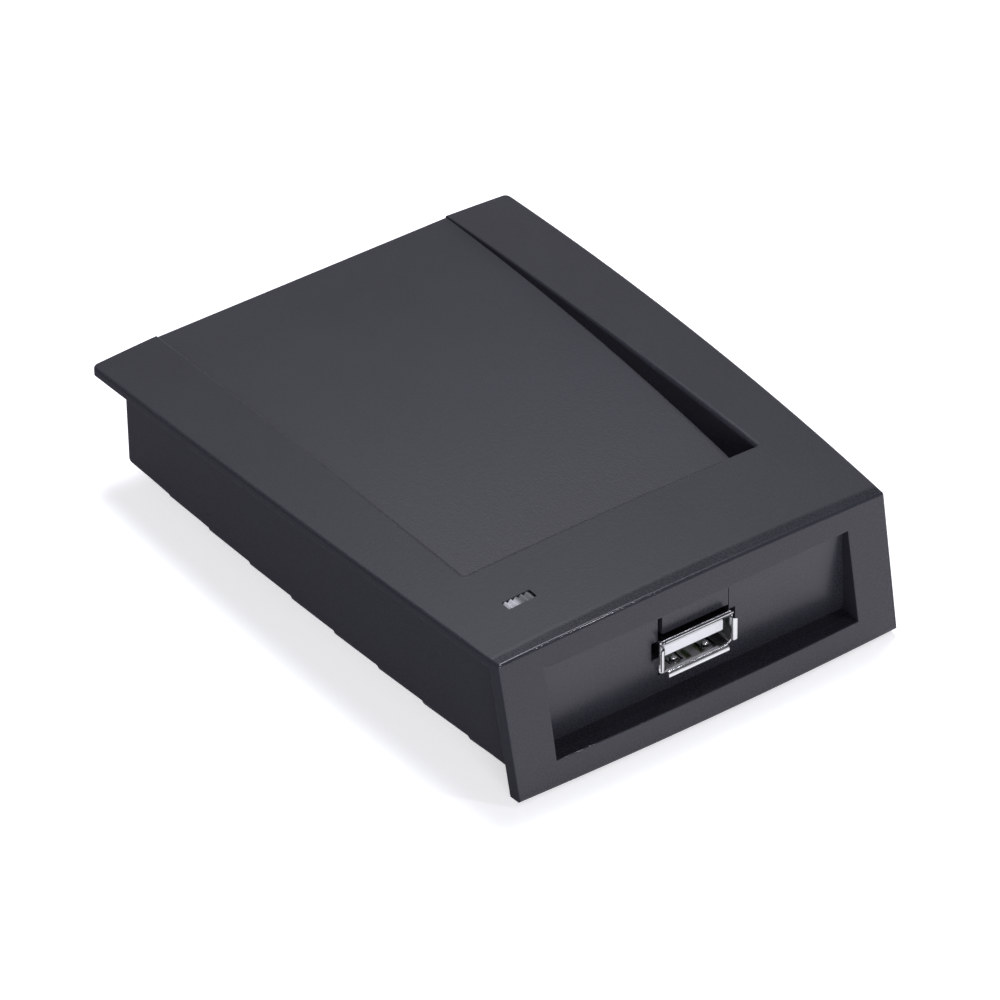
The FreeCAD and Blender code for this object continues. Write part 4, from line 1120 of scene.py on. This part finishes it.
@dataclass
class CrossScrews:
    """Domed, cross-headed thread-forming screws, whose heads face down or up."""

    node: str
    heads_down: bool
    head: float
    rise: float
    shank: float
    pitch: float = 0.9
    recess: float = 0.95
    blade: float = 0.32
    bite: float = 0.22

    def profile(self, box: Box) -> list[Point]:
        """Radius and height of a screw from its head's face to its tip, as distances from the face.

        Args:
            box: The screw's box.

        Returns:
            The turned profile.
        """
        face = [(0.0, 0.0)]
        for turn in range(15, 91, 15):
            angle = math.radians(turn)
            face.append((self.head * math.sin(angle), self.rise * 0.7 * (1 - math.cos(angle))))
        points = [*face, (self.head, self.rise), (self.shank, self.rise)]
        long = box.size.z
        place = self.rise + 0.5
        while place < long - 1.2:
            points += [(self.shank - self.bite, place), (self.shank, place + self.pitch * 0.45),
                       (self.shank - self.bite, place + self.pitch * 0.9)]
            place += self.pitch
        return [*points, (self.shank * 0.55, long - 0.5), (0.0, long)]

    def build(self) -> bpy.types.Object:
        """Make the screws and cut their cross recesses.

        Returns:
            The screws.
        """
        shape = Shape()
        crosses = Shape()
        for box in solids_of(self.node):
            centre = (box.middle.x, box.middle.y)
            face, way = (box.low.z, 1) if self.heads_down else (box.high.z, -1)
            shape.turn([(radius, face + way * far) for radius, far in self.profile(box)], centre, 40)
            depth = self.rise * 0.75
            ends = tuple(sorted((face - way * 0.5, face + way * depth)))
            for long, wide in ((self.recess, self.blade), (self.blade, self.recess)):
                crosses.block((centre[0] - long, centre[0] + long),
                              (centre[1] - wide, centre[1] + wide), ends)
        body = shape.made(self.node + "_turned", 30.0)
        return carved(body, crosses.made(self.node + "_cross"))

    def dress(self, dresser: Dresser) -> None:
        """Build the screws and give them their plated finish."""
        dresser.fit(self.build(), "screw_steel", self.node)


# ------------------------------------------------------------------ the studio

@dataclass(frozen=True)
class Softbox:
    """One square soft light."""

    name: str
    place: Colour
    aim: Colour
    side: float
    power: float
    tint: Colour = (0.90, 0.91, 1.0)

    def hang(self) -> None:
        """Add the light to the scene."""
        lamp = bpy.data.lights.new(self.name, "AREA")
        lamp.size = self.side
        lamp.energy = self.power
        lamp.color = self.tint
        holder = bpy.data.objects.new(self.name, lamp)
        holder.location = self.place
        holder.rotation_euler = (Vector(self.aim) - Vector(self.place)).to_track_quat("-Z", "Y").to_euler()
        bpy.context.scene.collection.objects.link(holder)


@dataclass
class Studio:
    """A white sweep, soft lights, and a long lens above the socket's corner."""

    floor_reach: float = 3.0
    curl: float = 0.6
    sky: float = 0.16
    floor_glow: float = 0.62
    lights: Sequence[Softbox] = (
        Softbox("rear_key", (-0.22, -0.30, 0.86), (0.0, 0.0, 0.02), 0.28, 6.6),
        Softbox("high_front", (-0.36, 0.42, 0.80), (0.0, 0.03, 0.02), 0.05, 0.9),
        Softbox("front_fill", (0.35, 1.00, 0.30), (0.0, 0.03, 0.02), 0.40, 4.5),
    )
    place: Colour = (0.4936035, 0.7085268, 0.6664406)
    aim: Colour = (-0.0024823, -0.0044488, 0.0046023)
    roll: float = -0.803
    lens: float = 251.69
    sensor: float = 36.0

    def lay_floor(self) -> None:
        """Add the paper floor, which curls up far from the object."""
        profile = [(0.0, 0.0), (self.floor_reach * 0.4, 0.0), (self.floor_reach * 0.8, 0.0)]
        for step in range(1, 9):
            turn = math.radians(90) * step / 8
            profile.append((self.floor_reach * (0.8 + 0.2 * math.sin(turn)),
                            self.curl * (1 - math.cos(turn))))
        sheet = Shape().turn([(radius / MM, height / MM) for radius, height in profile], (0.0, 0.0), 96)
        paper = sheet.made("paper_floor", 60.0)
        finish = StudioPaper("studio_paper", (0.94, 0.94, 0.945), 0.9, self.floor_glow)
        paper.data.materials.append(finish.material())

    def light(self) -> None:
        """Add the sky and the soft lights."""
        world = bpy.data.worlds.new("white_room")
        bpy.context.scene.world = world
        world.use_nodes = True
        sky = world.node_tree.nodes["Background"]
        sky.inputs["Color"].default_value = (0.92, 0.94, 1.0, 1.0)
        sky.inputs["Strength"].default_value = self.sky
        for lamp in self.lights:
            lamp.hang()

    def set_camera(self) -> None:
        """Add the camera and make it the scene's own."""
        data = bpy.data.cameras.new("studio_camera")
        data.lens = self.lens
        data.sensor_width = self.sensor
        data.clip_start = 0.01
        camera = bpy.data.objects.new("studio_camera", data)
        bpy.context.scene.collection.objects.link(camera)
        back = Vector(self.place) - Vector(self.aim)
        camera.location = self.place
        camera.rotation_mode = "QUATERNION"
        tilt = Quaternion((0.0, 0.0, 1.0), math.radians(self.roll))
        camera.rotation_quaternion = back.to_track_quat("Z", "Y") @ tilt
        bpy.context.scene.camera = camera

    def build(self) -> None:
        """Set up the whole studio."""
        self.set_camera()
        self.light()
        self.lay_floor()
        bpy.context.scene.view_settings.view_transform = "Standard"


def main() -> None:
    """Build every piece in order and report it."""
    logging.basicConfig(level=logging.INFO, format="%(message)s")
    Studio().build()
    dresser = Dresser()
    assemblies = [
        IndicatorLens(),
        SocketShell(),
        SocketInside(),
        RubberFeet(),
        CrossScrews("case_screws", True, 2.5, 1.6, 1.3),
        CrossScrews("board_screws", False, 1.9, 1.0, 1.0, 0.6, 0.8, 0.25, 0.15),
    ]
    for assembly in assemblies:
        assembly.dress(dresser)
    dresser.carry_over()


if __name__ == "__main__":
    main()
